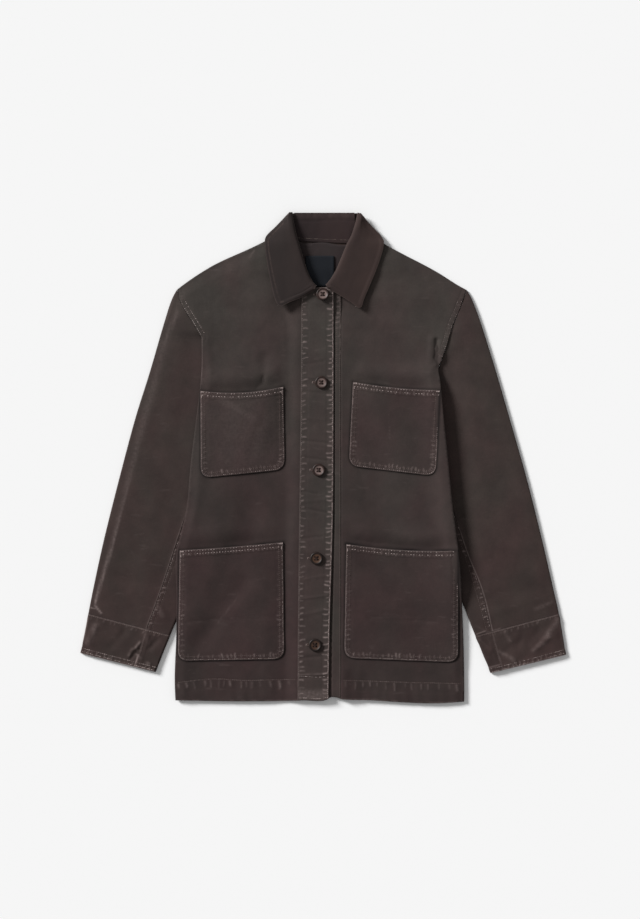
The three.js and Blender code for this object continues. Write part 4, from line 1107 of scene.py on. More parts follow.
def marks_along_lines(x, y, marks):
    """Marks along straight lines, as the table holds them: wear, and in two tables painted shade and a painted
    highlight.
    """
    wear = np.zeros(np.shape(x))
    for from_x, from_y, to_x, to_y, wide, strength in marks:
        wear = np.maximum(wear, fold_height(x, y, [(from_x, from_y, to_x, to_y, strength, wide)]))
    return wear


def front_detail(x, y, side):
    """Height and wear of a front's fine form: creases, seams, the doubled hem and the washed relief. The wear
    goes negative where shadow is painted round the pockets.
    """
    height, wear = sewn_relief(x, y, BODY_SEAMS[side])
    stitch_y = np.interp(x, HEM_STITCH[::-1, 0], HEM_STITCH[::-1, 1])
    hem_y = np.interp(x, HEM_LINE[:, 0], HEM_LINE[:, 1])
    doubled = smooth((stitch_y - y + 0.4) / 0.9)
    height += 0.45 * doubled
    height += 0.3 * rumple(x, y, 60, 5) + 0.12 * rumple(x, y, 19, 6)
    height += 0.45 * doubled * rumple(x, y * 0.12, 13, 7)
    near_hem = bell(y - hem_y, 1.3)
    wear = np.maximum(wear * (0.4 - 0.2 * (y > 0)), 0.3 * near_hem)
    wear = np.maximum(wear, marks_along_lines(x, y, FRONT_RUBS))
    # the painted shadow round the pockets is taken off the wear
    return height, wear - painted_pocket_shadows(x, y, side)


def front_top(x, y, side):
    detail, _ = front_detail(x, y, side)
    right, left = body_edges(y)
    edge = smooth(np.minimum(x - right, left - x) / 9 + 0.25 * (y > 150))
    return front_shape(x, y, side) + CLOTH / 2 + detail * (0.35 + 0.65 * edge)


def make_back():
    outline = joined(
        hem_between(-223, 209.6),
        LEFT_SIDE[::-1],
        curve(ARMHOLE["left"])[::-1],
        curve(SHOULDER["left"])[::-1],
        curve(BACK_NECK)[::-1],
        curve(SHOULDER["right"]),
        curve(ARMHOLE["right"]),
        RIGHT_SIDE,
    )

    def top(x, y):
        return back_height(x, y) + CLOTH / 2 + 0.08 * rumple(x, y, 40, 8) * (y > 230)

    def under(x, y):
        return back_height(x, y) - CLOTH / 2

    def close_to_neck(x, y):
        return np.where(y > 250, 1, 2)

    piece = shell("back_cloth", outline, top, under, 4.5, close_to_neck, under_step=9.0)
    # the back uses the copy of the cloth with painted shade in the neck
    finish_cut(piece, "back", "canvas_body", outline, "canvas_back_painted_shade")


def make_front(side):
    armhole = curve(ARMHOLE[side])
    shoulder = curve(SHOULDER[side])
    neck = curve(NECK[side])
    if side == "right":
        hem = hem_between(-223, PLACKET["outer"][-1])
        outline = joined(hem, placket_edge("outer")[::-1], neck[::-1], shoulder, armhole, RIGHT_SIDE)
    else:
        hem = hem_between(BAND[0], 209.6)
        inner = straight([(BAND[0], BAND_TOP + 2), (BAND[0], -362)])
        outline = joined(hem, LEFT_SIDE[::-1], armhole[::-1], shoulder[::-1], neck[::-1], inner)

    def top(x, y):
        return front_top(x, y, side)

    # wear of the front, with the painted shadow round the pockets as negative values
    def wear(x, y):
        return front_detail(x, y, side)[1]

    def under(x, y):
        return front_shape(x, y, side) - CLOTH / 2

    def close_to_sewing(x, y):
        hem = (y < -326) & (y > -350)
        sleeve_seam = (np.abs(x) > 152) & (y > 120)
        beside_pocket = painted_pocket_shadows(x, y, side) > 0.001
        beside_band = (side == "left") & (np.abs(x - BAND[1] - 1) < 3)
        return np.where(hem | sleeve_seam | beside_pocket | beside_band, 1, 2)

    def drop(x, y):
        right, left = body_edges(y)
        shoulder_y = height_along(SHOULDER[side], x)
        _, from_armhole = nearest(x, y, armhole)
        sewn = (np.abs(from_armhole) < 1) | (np.abs(shoulder_y - y) < 1.5)
        sewn |= (np.minimum(np.abs(x - right), np.abs(left - x)) < 3) & (y < 180)
        return np.where(sewn, np.maximum(0, front_air(x, y) - 0.1), 0)

    piece = shell(f"front_{side}_cloth", outline, top, under, 1.35, close_to_sewing, wear, drop)
    finish_cut(piece, "front_" + side, "canvas_body", outline)


# The placket and the button band.

PLACKET_SEAMS = [
    Seam(placket_edge("outer")[::-1], [1.6], 2, 10.5, seed=31, spacing=8.4, height=0.9, width=0.95, least=0.7),
    Seam(placket_edge("inner"), [1.6], 3.4, 11, seed=32, spacing=9.0, height=0.65, width=0.95, least=0.55),
]
BUTTONS = [f"button_{k}" for k in range(1, 6)]
PLACKET_CREASES = [
    (-30, 121, 8, 117, 0.35, 2.2),
    (-28, 140, -2, 144, -0.3, 2.5),
    (-32, 100, 6, 96, -0.4, 2.4),
    (-32, 60, 0, 57, 0.3, 3),
    (-33, 26, 6, 22, -0.5, 2.2),
    (-34, 1, 4, -4, -0.6, 2.2),
    (-34, -50, -10, -54, -0.6, 2.0),
    (-34, -66, 4, -62, 0.4, 3),
    (-35, -75, 9, -83, -0.65, 2.3),
    (-36, -121, -4, -118, -0.5, 2.2),
    (-30, -182, 2, -176, 0.35, 2.4),
    (-35, -211, 5, -206, 0.5, 2.0),
    (-35, -236, 0, -228, 0.4, 3),
    (-37, -300, 2, -296, -0.6, 2.4),
    (-39, -325, 6, -323, 0.6, 1.6),
    (-39, -330, 6, -328, -0.5, 1.6),
]


def button_middle(node):
    """Middle of a button's underside."""
    low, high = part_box(node)
    return (low.x + high.x) / 2 / MM, (low.y + high.y) / 2 / MM, low.z / MM


def placket_detail(x, y):
    height, wear = sewn_relief(x, y, PLACKET_SEAMS)
    outer = placket_x("outer", y)
    for node in BUTTONS:
        middle_x, middle_y, _ = button_middle(node)
        across = bell(x - middle_x + 4, 20)
        height -= 0.5 * across * bell(y - middle_y, 7)
        wave = bell(y - middle_y - 11, 5) + bell(y - middle_y + 12, 5)
        height += 0.3 * across * wave
    height += 0.14 * rumple(x, y, 30, 35) + 0.08 * rumple(x, y, 13, 36)
    height += fold_height(x, y, PLACKET_CREASES)
    inner = placket_x("inner", y)
    rubbed = 0.9 * bell(outer - x - 0.4, 1.1) + 0.3 * bell(x - inner - 1.2, 0.8)
    wear = np.maximum(wear * (0.92 + 0.13 * smooth((x + 20) / 10)), rubbed)
    wear = np.maximum(wear, 0.3 * fold_height(x, y, [(-39, -325, 6, -323, 1, 1.3)]) * (0.7 + rumple(x, y, 8, 38)))
    wear = np.maximum(wear, 0.5 * smooth((-343 - y) / 10) * (0.4 + 0.6 * np.abs(rumple(x, y, 9, 37))))
    return height, wear


def placket_under(x, y):
    return front_height(x, y, "right") + lap_lift(x, y) + CLOTH / 2 + SEAM


def placket_top(x, y):
    detail, _ = placket_detail(x, y)
    return placket_under(x, y) + CLOTH + 0.2 + detail


def make_placket():
    outline = joined(
        hem_between(PLACKET["inner"][-1], PLACKET["outer"][-1], 0.5),
        placket_edge("outer")[::-1],
        placket_edge("inner"),
    )

    def wear(x, y):
        return placket_detail(x, y)[1]

    piece = shell("placket_cloth", outline, placket_top, placket_under, 1.4, everywhere(1), wear)
    finish_cut(piece, "placket", "canvas_placket", outline)
    sewing = Threads("placket_sewing", "canvas_placket")
    sewing.row(surface_line(offset(placket_edge("outer")[::-1], 1.6), placket_top), 0.28)
    sewing.row(surface_line(offset(placket_edge("inner"), 1.6), placket_top), 0.16)
    for row in (4, 36):
        line = hem_between(PLACKET["inner"][-1] + 2, PLACKET["outer"][-1] - 2, row)
        sewing.row(surface_line(line, placket_top))
    for node in BUTTONS:
        add_buttonhole(sewing, node)
    sewing.build()


def add_buttonhole(sewing, node):
    """Close stitches on both sides of a slit that runs across the placket under the button."""
    middle_x, middle_y, _ = button_middle(node)
    left = middle_x - 12.6
    right = middle_x + 6
    for side in (-1, 1):
        for x in np.arange(left, right, 0.7):
            y = middle_y + side * 1.15
            site = surface_line(np.array([[x, y]]), placket_top)[0]
            sewing.bars(site + np.array([0, 0, 0.15]), (1, 0), 0.0, 1.7, 1, 0.0)
    end = surface_line(np.array([[left - 0.4, middle_y]]), placket_top)[0]
    sewing.bars(end + np.array([0, 0, 0.2]), (1, 0), 1.2, 3.6, 3, 0.18)


def make_button_band():
    outline = joined(
        hem_between(BAND[0], BAND[1], 0.5),
        straight([(BAND[1], -358), (BAND[1], BAND_TOP)]),
        straight([(BAND[1], BAND_TOP), (BAND[0], BAND_TOP)]),
        straight([(BAND[0], BAND_TOP), (BAND[0], -360)]),
    )
    seam = Seam(straight([(BAND[1], -361), (BAND[1], BAND_TOP)]), [1.6, 7], 2, 8, seed=41, spacing=9, height=0.4)

    def detail(x, y):
        return sewn_relief(x, y, [seam])

    def top(x, y):
        shown = smooth((x - 8) / 4) * (0.1 + 0.9 * smooth((y - 110) / 70))
        return under(x, y) + CLOTH + detail(x, y)[0] * shown

    def under(x, y):
        return front_height(x, y, "left") + CLOTH / 2 + SEAM

    def rubbed(x, y):
        shown = smooth((y - 140) / 70)
        edge = (0.22 + 0.18 * shown) * bell(BAND[1] - x, 1.1)
        return np.maximum(detail(x, y)[1] * 0.6 * shown, edge)

    def close_to_edge(x, y):
        return np.where(x > 12, 1, 4)

    piece = shell("button_band_cloth", outline, top, under, 1.5, close_to_edge, rubbed)
    finish_cut(piece, "button_band", "canvas_placket", outline)
    sewing = Threads("button_band_sewing", "canvas_placket")
    for row, low in ((1.6, -358), (7, 110)):
        sewing.row(surface_line(straight([(BAND[1] - row, low), (BAND[1] - row, BAND_TOP - 2)]), top), 0.02)
    sewing.build()


# The pockets.


def pocket_outline(pocket):
    """Outline from the mouth's left end, along the mouth and round the rounded lower corners."""
    (left_x, _), (right_x, _) = pocket["top_left"], pocket["top_right"]
    across = np.linspace(0, 1, 50)
    mouth = np.column_stack([left_x + (right_x - left_x) * across, pocket_mouth(pocket, across)])

    def rounded(before, corner, after):
        before, corner, after = (np.array(p, float) for p in (before, corner, after))
        first = corner + (before - corner) * POCKET_ROUND / np.linalg.norm(before - corner)
        last = corner + (after - corner) * POCKET_ROUND / np.linalg.norm(after - corner)
        t = np.linspace(0, 1, 12)[:, None]
        return (1 - t) ** 2 * first + 2 * t * (1 - t) * corner + t**2 * last

    low_right = rounded(pocket["top_right"], pocket["low_right"], pocket["low_left"])
    low_left = rounded(pocket["low_right"], pocket["low_left"], pocket["top_left"])
    around = chain(
        straight([pocket["top_right"], low_right[0]]),
        low_right,
        straight([low_right[-1], low_left[0]]),
        low_left,
        straight([low_left[-1], pocket["top_left"]]),
    )
    return mouth, around


def make_pocket(name):
    pocket = POCKETS[name]
    side = pocket["side"]
    (left_x, left_y), (right_x, right_y) = pocket["top_left"], pocket["top_right"]
    top_y = max(left_y, right_y)
    low_y = min(pocket["low_left"][1], pocket["low_right"][1])
    mouth, around = pocket_outline(pocket)
    outline = joined(mouth, around)
    hem_seam = Seam(mouth, [-1.6, -6.2], -8.6, -2.6, pocket["seed"], spacing=6, height=0.35, width=0.9)
    edge_seam = Seam(around[::-1], [1.7], 4.2, 10.5, pocket["seed"] + 10, spacing=6.8, height=0.6, width=1.0)

    def pouch(x, y):
        across = (x - left_x) / (right_x - left_x)
        down = (left_y + (right_y - left_y) * across - y) / (top_y - low_y)
        return pocket["open"] * np.maximum(0, 4 * across * (1 - across)) * smooth(1.15 - np.maximum(0, down))

    def seat(x, y):
        return front_height(x, y, side) + CLOTH / 2 + SEAM + pouch(x, y)

    def detail(x, y):
        height, wear = sewn_relief(x, y, [hem_seam, edge_seam])
        across = np.clip((x - left_x) / (right_x - left_x), 0, 1)
        from_mouth = pocket_mouth(pocket, across) - y
        height += POCKET_HEM_EXTRA * smooth((POCKET_HEM - from_mouth) / 0.9 + 0.5)
        height += fold_height(x, y, FRONT_CREASES)
        height += 0.16 * rumple(x, y, 34, pocket["seed"] + 1) + 0.06 * rumple(x, y, 14, pocket["seed"] + 2)
        _, from_edge = nearest(x, y, around[::-1])
        rubbed = 0.62 * bell(from_edge, 0.7)
        lip = 0.45 * bell(from_mouth, 0.9)
        low = smooth((0.55 * top_y + 0.45 * low_y - y) / 40)
        in_hem = smooth((POCKET_HEM + 1 - from_mouth) / 2)
        wear = wear * np.maximum(0.16 + 0.64 * pocket["worn"] * low, 0.5 * in_hem)
        # pale wear, with the painted highlight on the right chest pocket's crest from the rubs table
        wear = np.maximum.reduce([wear, rubbed, lip, marks_along_lines(x, y, POCKET_RUBS)])
        # the painted shade along the pockets' soft folds is taken off the wear
        return height, wear - marks_along_lines(x, y, POCKET_PAINTED_SHADE)

    def top(x, y):
        return seat(x, y) + CLOTH + detail(x, y)[0]

    def close_to_edge(x, y):
        _, from_edge = nearest(x, y, outline, closed=True)
        return np.where(np.abs(from_edge) < 12, 1, 2)

    def worn_at(x, y):
        return detail(x, y)[1]

    piece = shell(name + "_cloth", outline, top, seat, 1.5, close_to_edge, worn_at)
    finish_cut(piece, name, "canvas_pocket", outline)
    sewing = Threads(name + "_sewing", "canvas_pocket")
    inner = around[::-1]
    for row, worn in ((1.7, 0.2), (6.4, 0.02)):
        sewing.row(surface_line(offset(inner, row), top), worn)
    for row, worn in ((-1.6, 0.4), (-6.2, 0.7)):
        sewing.row(surface_line(offset(mouth[1:-1], row), top), worn, 4.2, 0.52)
    tacks = ((3.2, -2.2, (1, 0), 4.6, 1.9, 8), (2.0, -8.6, (0, 1), 3.4, 1.7, 6))
    for corner, inwards in ((mouth[0], 1), (mouth[-1], -1)):
        for in_by, down_by, along, length, width, count in tacks:
            spot = corner + np.array([inwards * in_by, down_by])
            site = surface_line(spot[None], top)[0] + np.array([0, 0, 0.2])
            sewing.bars(site, along, length, width, count)
    sewing.build()


# The sleeves and cuffs.

CUFF_START = 8 / 9
UNDER_LAP = 7
COVERED_AIR = 0.4
OUTER_AIR = 1.2
SLEEVE_FOLDS = {
    "right": [
        (-236, 214, -316, -96, 0.5, 5),
        (-196, 60, -252, 0, -0.7, 12),
        (-230, 20, -286, -40, 0.5, 14),
        (-222, -60, -290, -150, -0.5, 14),
        (-262, -190, -330, -178, -0.4, 9),
        (-236, -236, -290, -205, 0.5, 8),
        (-300, -256, -340, -244, -0.35, 7),
        (-262, -286, -300, -262, -0.6, 6),
        (-318, -292, -350, -262, 0.5, 7),
    ],
    "left": [
        (226, 214, 312, -96, 0.4, 6),
        (214, 70, 262, -10, 0.5, 13),
        (240, 20, 290, -60, -0.5, 14),
        (234, -110, 300, -180, 0.5, 14),
        (250, -206, 330, -196, -0.4, 9),
        (240, -240, 300, -214, 0.5, 8),
        (262, -296, 306, -266, -0.6, 6),
        (320, -286, 350, -262, 0.5, 7),
    ],
}
SLEEVE_RUBS = {
    "right": [
        (-220, 218, -241, 172, 3, 0.22),
        (-241, 172, -253, 120, 6, 0.15),
        (-253, 120, -265, 75, 6, 0.15),
        (-265, 75, -277, 31, 5.5, 0.17),
        (-277, 31, -293, -33, 4, 0.18),
        (-293, -33, -306.5, -86, 2.4, 0.28),
        (-306.5, -86, -319.5, -138, 2.2, 0.4),
        (-319.5, -138, -331, -174, 2.2, 0.5),
        (-331, -174, -342, -213, 1.9, 0.6),
        (-342, -213, -342.5, -222, 1.4, 0.85),
        (-342.5, -222, -334, -233, 1.4, 0.8),
        (-352, -224, -343, -226, 1.0, 0.6),
        (-279, -295, -283.5, -311, 0.95, 0.95),
        (-355, -240, -362, -274, 1.6, 0.75),
        (-250, -222, -243, -236, 4, 0.22),
    ],
    "left": [
        (341, -216, 318, -226, 3, 0.15),
        (353, -240, 361, -290, 1.6, 0.3),
        (228, -252, 246, -262, 3, 0.2),
        (229, -264, 242, -259, 1.2, 0.6),
        (243, -262, 262, -256, 1.0, 0.35),
        (247, -314, 262, -310, 1.4, 0.5),
    ],
}
CREST_WORN = {"right": 0.55, "left": 0.75}
UNDER_PAINTED_SHADE = {"right": 0.04, "left": 0.14}  # painted shade on the sleeves' under pieces, most on the left one, which lies in the body's shadow
CUFF_FOLDS = {  # creases of the cuffs: from, to, up, half width
    "right": [
        (-342, -252, -354, -276, 0.9, 5),
        (-276, -277, -281, -283, 1.3, 2.2),
        (-280, -284, -288, -288, 1.1, 2.0),
        (-287, -288, -292, -296, 1.0, 2.4),
        (-285, -290, -279, -297, 1.1, 2.0),
        (-277, -299, -262, -309, 1.2, 2.4),
        (-283, -292, -290, -301, -1.0, 2.6),
        (-250, -273, -262, -285, -0.9, 4),
        (-300, -262, -318, -282, -0.6, 6),
        (-268, -262, -262, -280, 0.6, 4),
    ],
    "left": [
        (349, -243, 329, -273, 0.9, 5),
        (336, -270, 314, -288, 1.0, 3.6),
        (322, -258, 306, -276, -0.8, 6),
        (272, -261, 279, -274, 0.7, 3.2),
        (263, -291, 285, -303, 1.0, 3),
        (234, -273, 249, -288, 0.9, 3.4),
        (298, -262, 290, -284, -0.5, 5),
    ],
}


def section_at(sleeve, place):
    """Every column of a sleeve's table at places from 0 to 1, on a smooth curve through its rows."""
    rows = np.arange(len(sleeve["air"]), dtype=float)
    return {name: hermite(rows, column, place * (len(rows) - 1)) for name, column in sleeve.items()}


def sleeve_air(section, share):
    inner_air = COVERED_AIR + (OUTER_AIR - COVERED_AIR) * smooth((section["cover"] - 0.95) / 0.2)
    swell = smooth(share / 0.14) * smooth((section["cover"] - 0.04 - share) / 0.3)
    edges = OUTER_AIR + (inner_air - OUTER_AIR) * smooth(share / (0.85 * section["cover"]))
    return edges + (section["air"] - edges) * swell, swell, inner_air


def sleeve_points(side, place, share, height):
    section = section_at(SLEEVE[side], place)
    x = section["outer_x"] + (section["inner_x"] - section["outer_x"]) * share
    y = section["outer_y"] + (section["inner_y"] - section["outer_y"]) * share
    return np.stack([x, y, height], -1)


def rise_to_armhole(x, y, side):
    """How far the sleeve rises to meet the front's raised edge at the armhole, above where it is tucked in."""
    armhole = curve(ARMHOLE[side])
    _, away = nearest(x.ravel(), y.ravel(), armhole)
    near = bell(away.reshape(x.shape), 20)
    return 0.85 * lift_over_sleeve(x, y, side) * near * smooth((y - armhole[-1, 1] + 1) / 12)


def sleeve_upper(side, place, share):
    """Middle of the cloth on the upper side of a sleeve, with its folds."""
    section = section_at(SLEEVE[side], place)
    air, swell, _ = sleeve_air(section, share)
    points = sleeve_points(side, place, share, CLOTH * 1.5 + air)
    x, y = points[..., 0], points[..., 1]
    folds = fold_height(x, y, SLEEVE_FOLDS[side]) + (0.3 * rumple(x, y, 60, 51) + 0.1 * rumple(x, y, 18, 52))
    points[..., 2] += folds * smooth(swell * 1.6) + rise_to_armhole(x, y, side)
    return points


def sleeve_width(side, place):
    section = section_at(SLEEVE[side], place)
    return np.hypot(section["outer_x"] - section["inner_x"], section["outer_y"] - section["inner_y"])


def armhole_start(side, share):
    """Place along the sleeve's table where a line at that share leaves the armhole."""
    line = np.concatenate([curve(ARMHOLE[side]), curve(TUCKED[side])[1:]])
    places = np.linspace(-0.06, 0.4, 140)
    starts = []
    for one in share:
        points = sleeve_points(side, places, np.full(len(places), one), np.zeros(len(places)))
        _, away = nearest(points[:, 0], points[:, 1], line)
        beyond = np.nonzero(away * OUTWARDS[side] > SEAM)[0]
        starts.append(places[beyond[0] if len(beyond) else 0])
    return np.array(starts)


def arc(middle_share, width, gap, side, steps, first, last):
    """Shares and heights round a fold of the tube."""
    radius = (CLOTH + gap) / 2
    angles = np.linspace(math.radians(first), math.radians(last), steps)
    share = middle_share[:, None] + side * (np.cos(angles) - 1)[None] * radius[:, None] / width[:, None]
    height = CLOTH / 2 + radius[:, None] * (1 + np.sin(angles))[None]
    return share, height


def sleeve_grid(side, part, rows, from_place, to_place):
    """Middle surface of a sleeve piece, with each point's distance from its felled seam and along it."""
    sleeve = SLEEVE[side]
    r = np.linspace(0, 1, rows)
    base = from_place + (to_place - from_place) * r
    section = section_at(sleeve, base)
    width = sleeve_width(side, base)
    _, _, inner_air = sleeve_air(section, np.ones(rows))
    inset_share = CLOTH / 2 / width
    outer_flat = (CLOTH + OUTER_AIR) / 2 / width
    inner_flat = (CLOTH + inner_air) / 2 / width
    gap = SEAM / 2 / width
    start = inset_share + outer_flat
    end = 1 - inset_share - inner_flat
    low = np.full((rows, 1), CLOTH / 2)

    def across(from_share, to_share, count):
        return from_share[:, None] + (to_share - from_share)[:, None] * np.linspace(0, 1, count)[None]

    outer_share, outer_height = arc(inset_share, width, np.full(rows, OUTER_AIR), -1, 9, -80, 80)
    inner_share, inner_height = arc(1 - inset_share, width, inner_air, 1, 9, 80, -80)
    upper_outer = columns_from_seam(section["seam"] - gap, start, width, 5, 30)[:, ::-1]
    upper_inner = columns_from_seam(section["seam"] + gap, end, width, 10, 12)
    lap = UNDER_LAP / width
    if part == "top":
        shares = [across(start + lap, start, 3), outer_share, upper_outer]
        heights = [np.repeat(low, 3, 1), outer_height, np.zeros_like(upper_outer)]
        flat_columns = slice(12, 12 + 35)
    elif part == "under":
        underneath = across(end, start + lap + 2 * gap, 16)
        shares = [upper_inner, inner_share, underneath]
        heights = [np.zeros_like(upper_inner), inner_height, np.repeat(low, 16, 1)]
        flat_columns = slice(0, 22)
    else:
        upper = across(start, end, 92)
        underneath = across(end, start, 20)
        shares = [outer_share, upper, inner_share, underneath]
        heights = [outer_height, np.zeros_like(upper), inner_height, np.repeat(low, 20, 1)]
        flat_columns = slice(9, 9 + 92)
    share = np.concatenate(shares, 1)
    height = np.concatenate(heights, 1)
    if part == "cuff":
        place = np.repeat(base[:, None], share.shape[1], 1)
    else:
        starts = armhole_start(side, share[0])
        place = starts[None] + (to_place - starts)[None] * r[:, None]
    grid = np.empty((*share.shape, 3))
    for column in range(share.shape[1]):
        grid[:, column] = sleeve_points(side, place[:, column], share[:, column], height[:, column])
        if flat_columns.start <= column < flat_columns.stop:
            grid[:, column] = sleeve_upper(side, place[:, column], share[:, column])
    from_seam = (share - section["seam"][:, None]) * width[:, None]
    edge_x, edge_y = grid[:, flat_columns.start, 0], grid[:, flat_columns.start, 1]
    along = np.concatenate([[0], np.cumsum(np.hypot(np.diff(edge_x), np.diff(edge_y)))])
    upper = np.zeros(share.shape, bool)
    upper[:, flat_columns] = True
    return grid, from_seam, np.repeat(along[:, None], share.shape[1], 1), upper


def columns_from_seam(seam, far, width, close, count):
    """Shares across the sleeve from its felled seam to a far share: close ones at first, then even ones."""
    CLOSE_STEP = 1.15
    total = np.abs(far - seam) * width
    near = CLOSE_STEP * np.arange(close)
    rest = near[-1] + (total[:, None] - near[-1]) * (np.arange(1, count + 1) / count)[None]
    away = np.concatenate([np.repeat(near[None], len(total), 0), rest], 1)
    return seam[:, None] + np.sign(far - seam)[:, None] * away / width[:, None]


def grid_area(grid):
    across = np.gradient(grid, axis=1)
    along = np.gradient(grid, axis=0)
    return float(np.linalg.norm(np.cross(across, along), axis=2)[:-1, :-1].sum())


def finish_grid(piece, grid, node, slot_name):
    width = float(np.median(np.linalg.norm(np.diff(grid, axis=1), axis=2).sum(1)))
    length = float(np.max(np.linalg.norm(np.diff(grid, axis=0), axis=2).sum(0)))
    area = grid_area(grid)
    length = max(length, area / width * 1.001)
    finish_cloth(piece, node, slot_name, area)


def cloth_from_grid(name, grid, lift, wear, thickness=CLOTH, ring=False, turned=False):
    """Closed cloth round a grid of middle points, with the lift added on its outer side."""
    normal = grid_normals(grid, ring) * (-1 if turned else 1)
    half = thickness / 2
    outer = grid + normal * (half + lift)[..., None]
    inner = grid - normal * half
    outer[..., 2] = np.maximum(outer[..., 2], 0)
    inner[..., 2] = np.maximum(inner[..., 2], 0.02)
    if turned:
        outer, inner, wear = outer[:, ::-1], inner[:, ::-1], wear[:, ::-1]
    return sheet_between(name, outer, inner, wear, ring)


def make_sleeve(side):
    turned = side == "right"
    sewing = Threads(f"sleeve_{side}_sewing", "canvas_sleeve")
    fell = Seam([(0, 0), (540, 0)], [], 0.5, 8.5, seed=61 if turned else 62, spacing=9, width=1.2)
    for part in ("top", "under"):
        grid, from_seam, along, upper = sleeve_grid(side, part, 290, 0.0, CUFF_START - 0.0004)
        wear = marks_along_lines(grid[..., 0], grid[..., 1], SLEEVE_RUBS[side])
        height = 0.6 * wear * upper
        if part == "top":
            crest = bell(from_seam + 0.5, 0.8) * smooth((along - 230) / 60)
            height += 0.25 * smooth((from_seam + 5) / 4) * upper
            wear = np.maximum(wear, CREST_WORN[side] * crest)
        else:
            band = smooth((from_seam - 0.5) / 1.2) * smooth((9.5 - from_seam) / 2)
            ridge = fell.ridge_at(along, from_seam) * band
            grooves = bell(from_seam - 1.8, 0.9) + bell(from_seam - 7.8, 0.9)
            height += (0.7 * ridge - 0.25 * grooves) * upper
            # the under piece gets painted shade beside the body
            wear = np.maximum(wear, 0.85 * ridge * smooth((along - 170) / 60)) - UNDER_PAINTED_SHADE[side]
        piece = cloth_from_grid(f"sleeve_{part}_{side}_cloth", grid, height, wear * upper, turned=turned)
        finish_grid(piece, grid, f"sleeve_{part}_{side}", "canvas_sleeve")
    seam_places = np.linspace(0.34, CUFF_START - 0.002, 240)
    section = section_at(SLEEVE[side], seam_places)
    width = sleeve_width(side, seam_places)
    for row, worn in ((1.8, 0.3), (7.8, 0.08)):
        line = sleeve_upper(side, seam_places, section["seam"] + row / width)
        sewing.row(line + np.array([0, 0, CLOTH / 2 - 0.25]), worn)
    add_cuff(side, sewing, turned)
    sewing.build()


def add_cuff(side, sewing, turned):
    """The cuff is a closed band: stitched at its seam and at its lower edge, creased and rubbed."""
    grid, from_seam, _, upper = sleeve_grid(side, "cuff", 40, CUFF_START + 0.0004, 1.0)
    rows = grid.shape[0]
    x, y = grid[..., 0], grid[..., 1]
    down = np.linalg.norm(grid - grid[:1], axis=2)
    length = float(down[-1].max())
    from_hem = down[-1][None] - down
    steps = np.linalg.norm(np.diff(grid[0], axis=0), axis=1)
    across = np.concatenate([[0], np.cumsum(steps)])[None].repeat(rows, 0)
    seed = 71 if side == "right" else 75
    low_seam = Seam([(0, 0), (across.max(), 0)], [], 1, 8, seed, spacing=6.5, width=1.1)
    top_seam = Seam([(0, 0), (across.max(), 0)], [], 1, 10, seed + 1, spacing=9, width=1.3)
    low_ridge = low_seam.ridge_at(across, from_hem) * smooth((9 - from_hem) / 2)
    top_ridge = top_seam.ridge_at(across, down) * smooth((down - 2.2) / 1.2) * smooth((8.5 - down) / 2)
    seam_band = smooth((from_seam + 0.8) / 1.2) * smooth((9 - from_seam) / 1.5) * upper
    folds = fold_height(x, y, CUFF_FOLDS[side]) * smooth(down / 4)
    above = grid[..., 2] > CLOTH
    cloudy = rumple(x, y, 15, seed + 3)
    height = 0.6 * (low_ridge + top_ridge) + 0.3 * seam_band + 0.12 * smooth((11 - down) / 1.2) + folds
    height += 0.35 * rumple(x, y, 26, seed + 2) * smooth(down / 8) + 0.3 * smooth((9 - from_hem) / 1.2)
    hem_line = 0.55 * bell(from_hem, 1.2)
    top_line = 0.55 * bell(down - 0.8, 0.8)
    crests = 0.3 * np.clip(folds, 0, 1) * (0.7 + cloudy)
    side_rub = marks_along_lines(x, y, SLEEVE_RUBS[side])
    wear = np.maximum.reduce([low_ridge * 0.65, top_ridge * 0.34, hem_line, top_line, crests, side_rub])
    wear = np.maximum(wear, 0.5 * CREST_WORN[side] * bell(from_seam - 0.4, 0.9))
    # painted shade on the cuff's under side
    wear -= UNDER_PAINTED_SHADE[side] * smooth(from_seam / 2)
    piece = cloth_from_grid(f"cuff_{side}_cloth", grid, height * above, wear * above, ring=True, turned=turned)
    width = float(steps.sum())
    area = grid_area(grid)
    finish_cloth(piece, "cuff_" + side, "canvas_sleeve", area)
    normal = grid_normals(grid, True) * (-1 if turned else 1)
    outer = grid + normal * (CLOTH / 2 + height)[..., None]
    columns_up = np.nonzero(upper[0])[0]

    def at(distance):
        """A line across the cuff's upper side at a distance down from its seam."""
        line = []
        for column in columns_up:
            line.append([np.interp(distance, down[:, column], outer[:, column, axis]) for axis in range(3)])
        return np.array(line)

    for distance, worn in ((2.2, 0.05), (length - 8, 0.35), (length - 3, 0.5)):
        sewing.row(at(distance), worn)
    places = np.linspace(CUFF_START + 0.003, 0.997, 40)
    section = section_at(SLEEVE[side], places)
    line = sleeve_upper(side, places, section["seam"] + 1.8 / sleeve_width(side, places))
    sewing.row(line + np.array([0, 0, CLOTH / 2 + 0.2]), 0.05)


# The collar and the label.


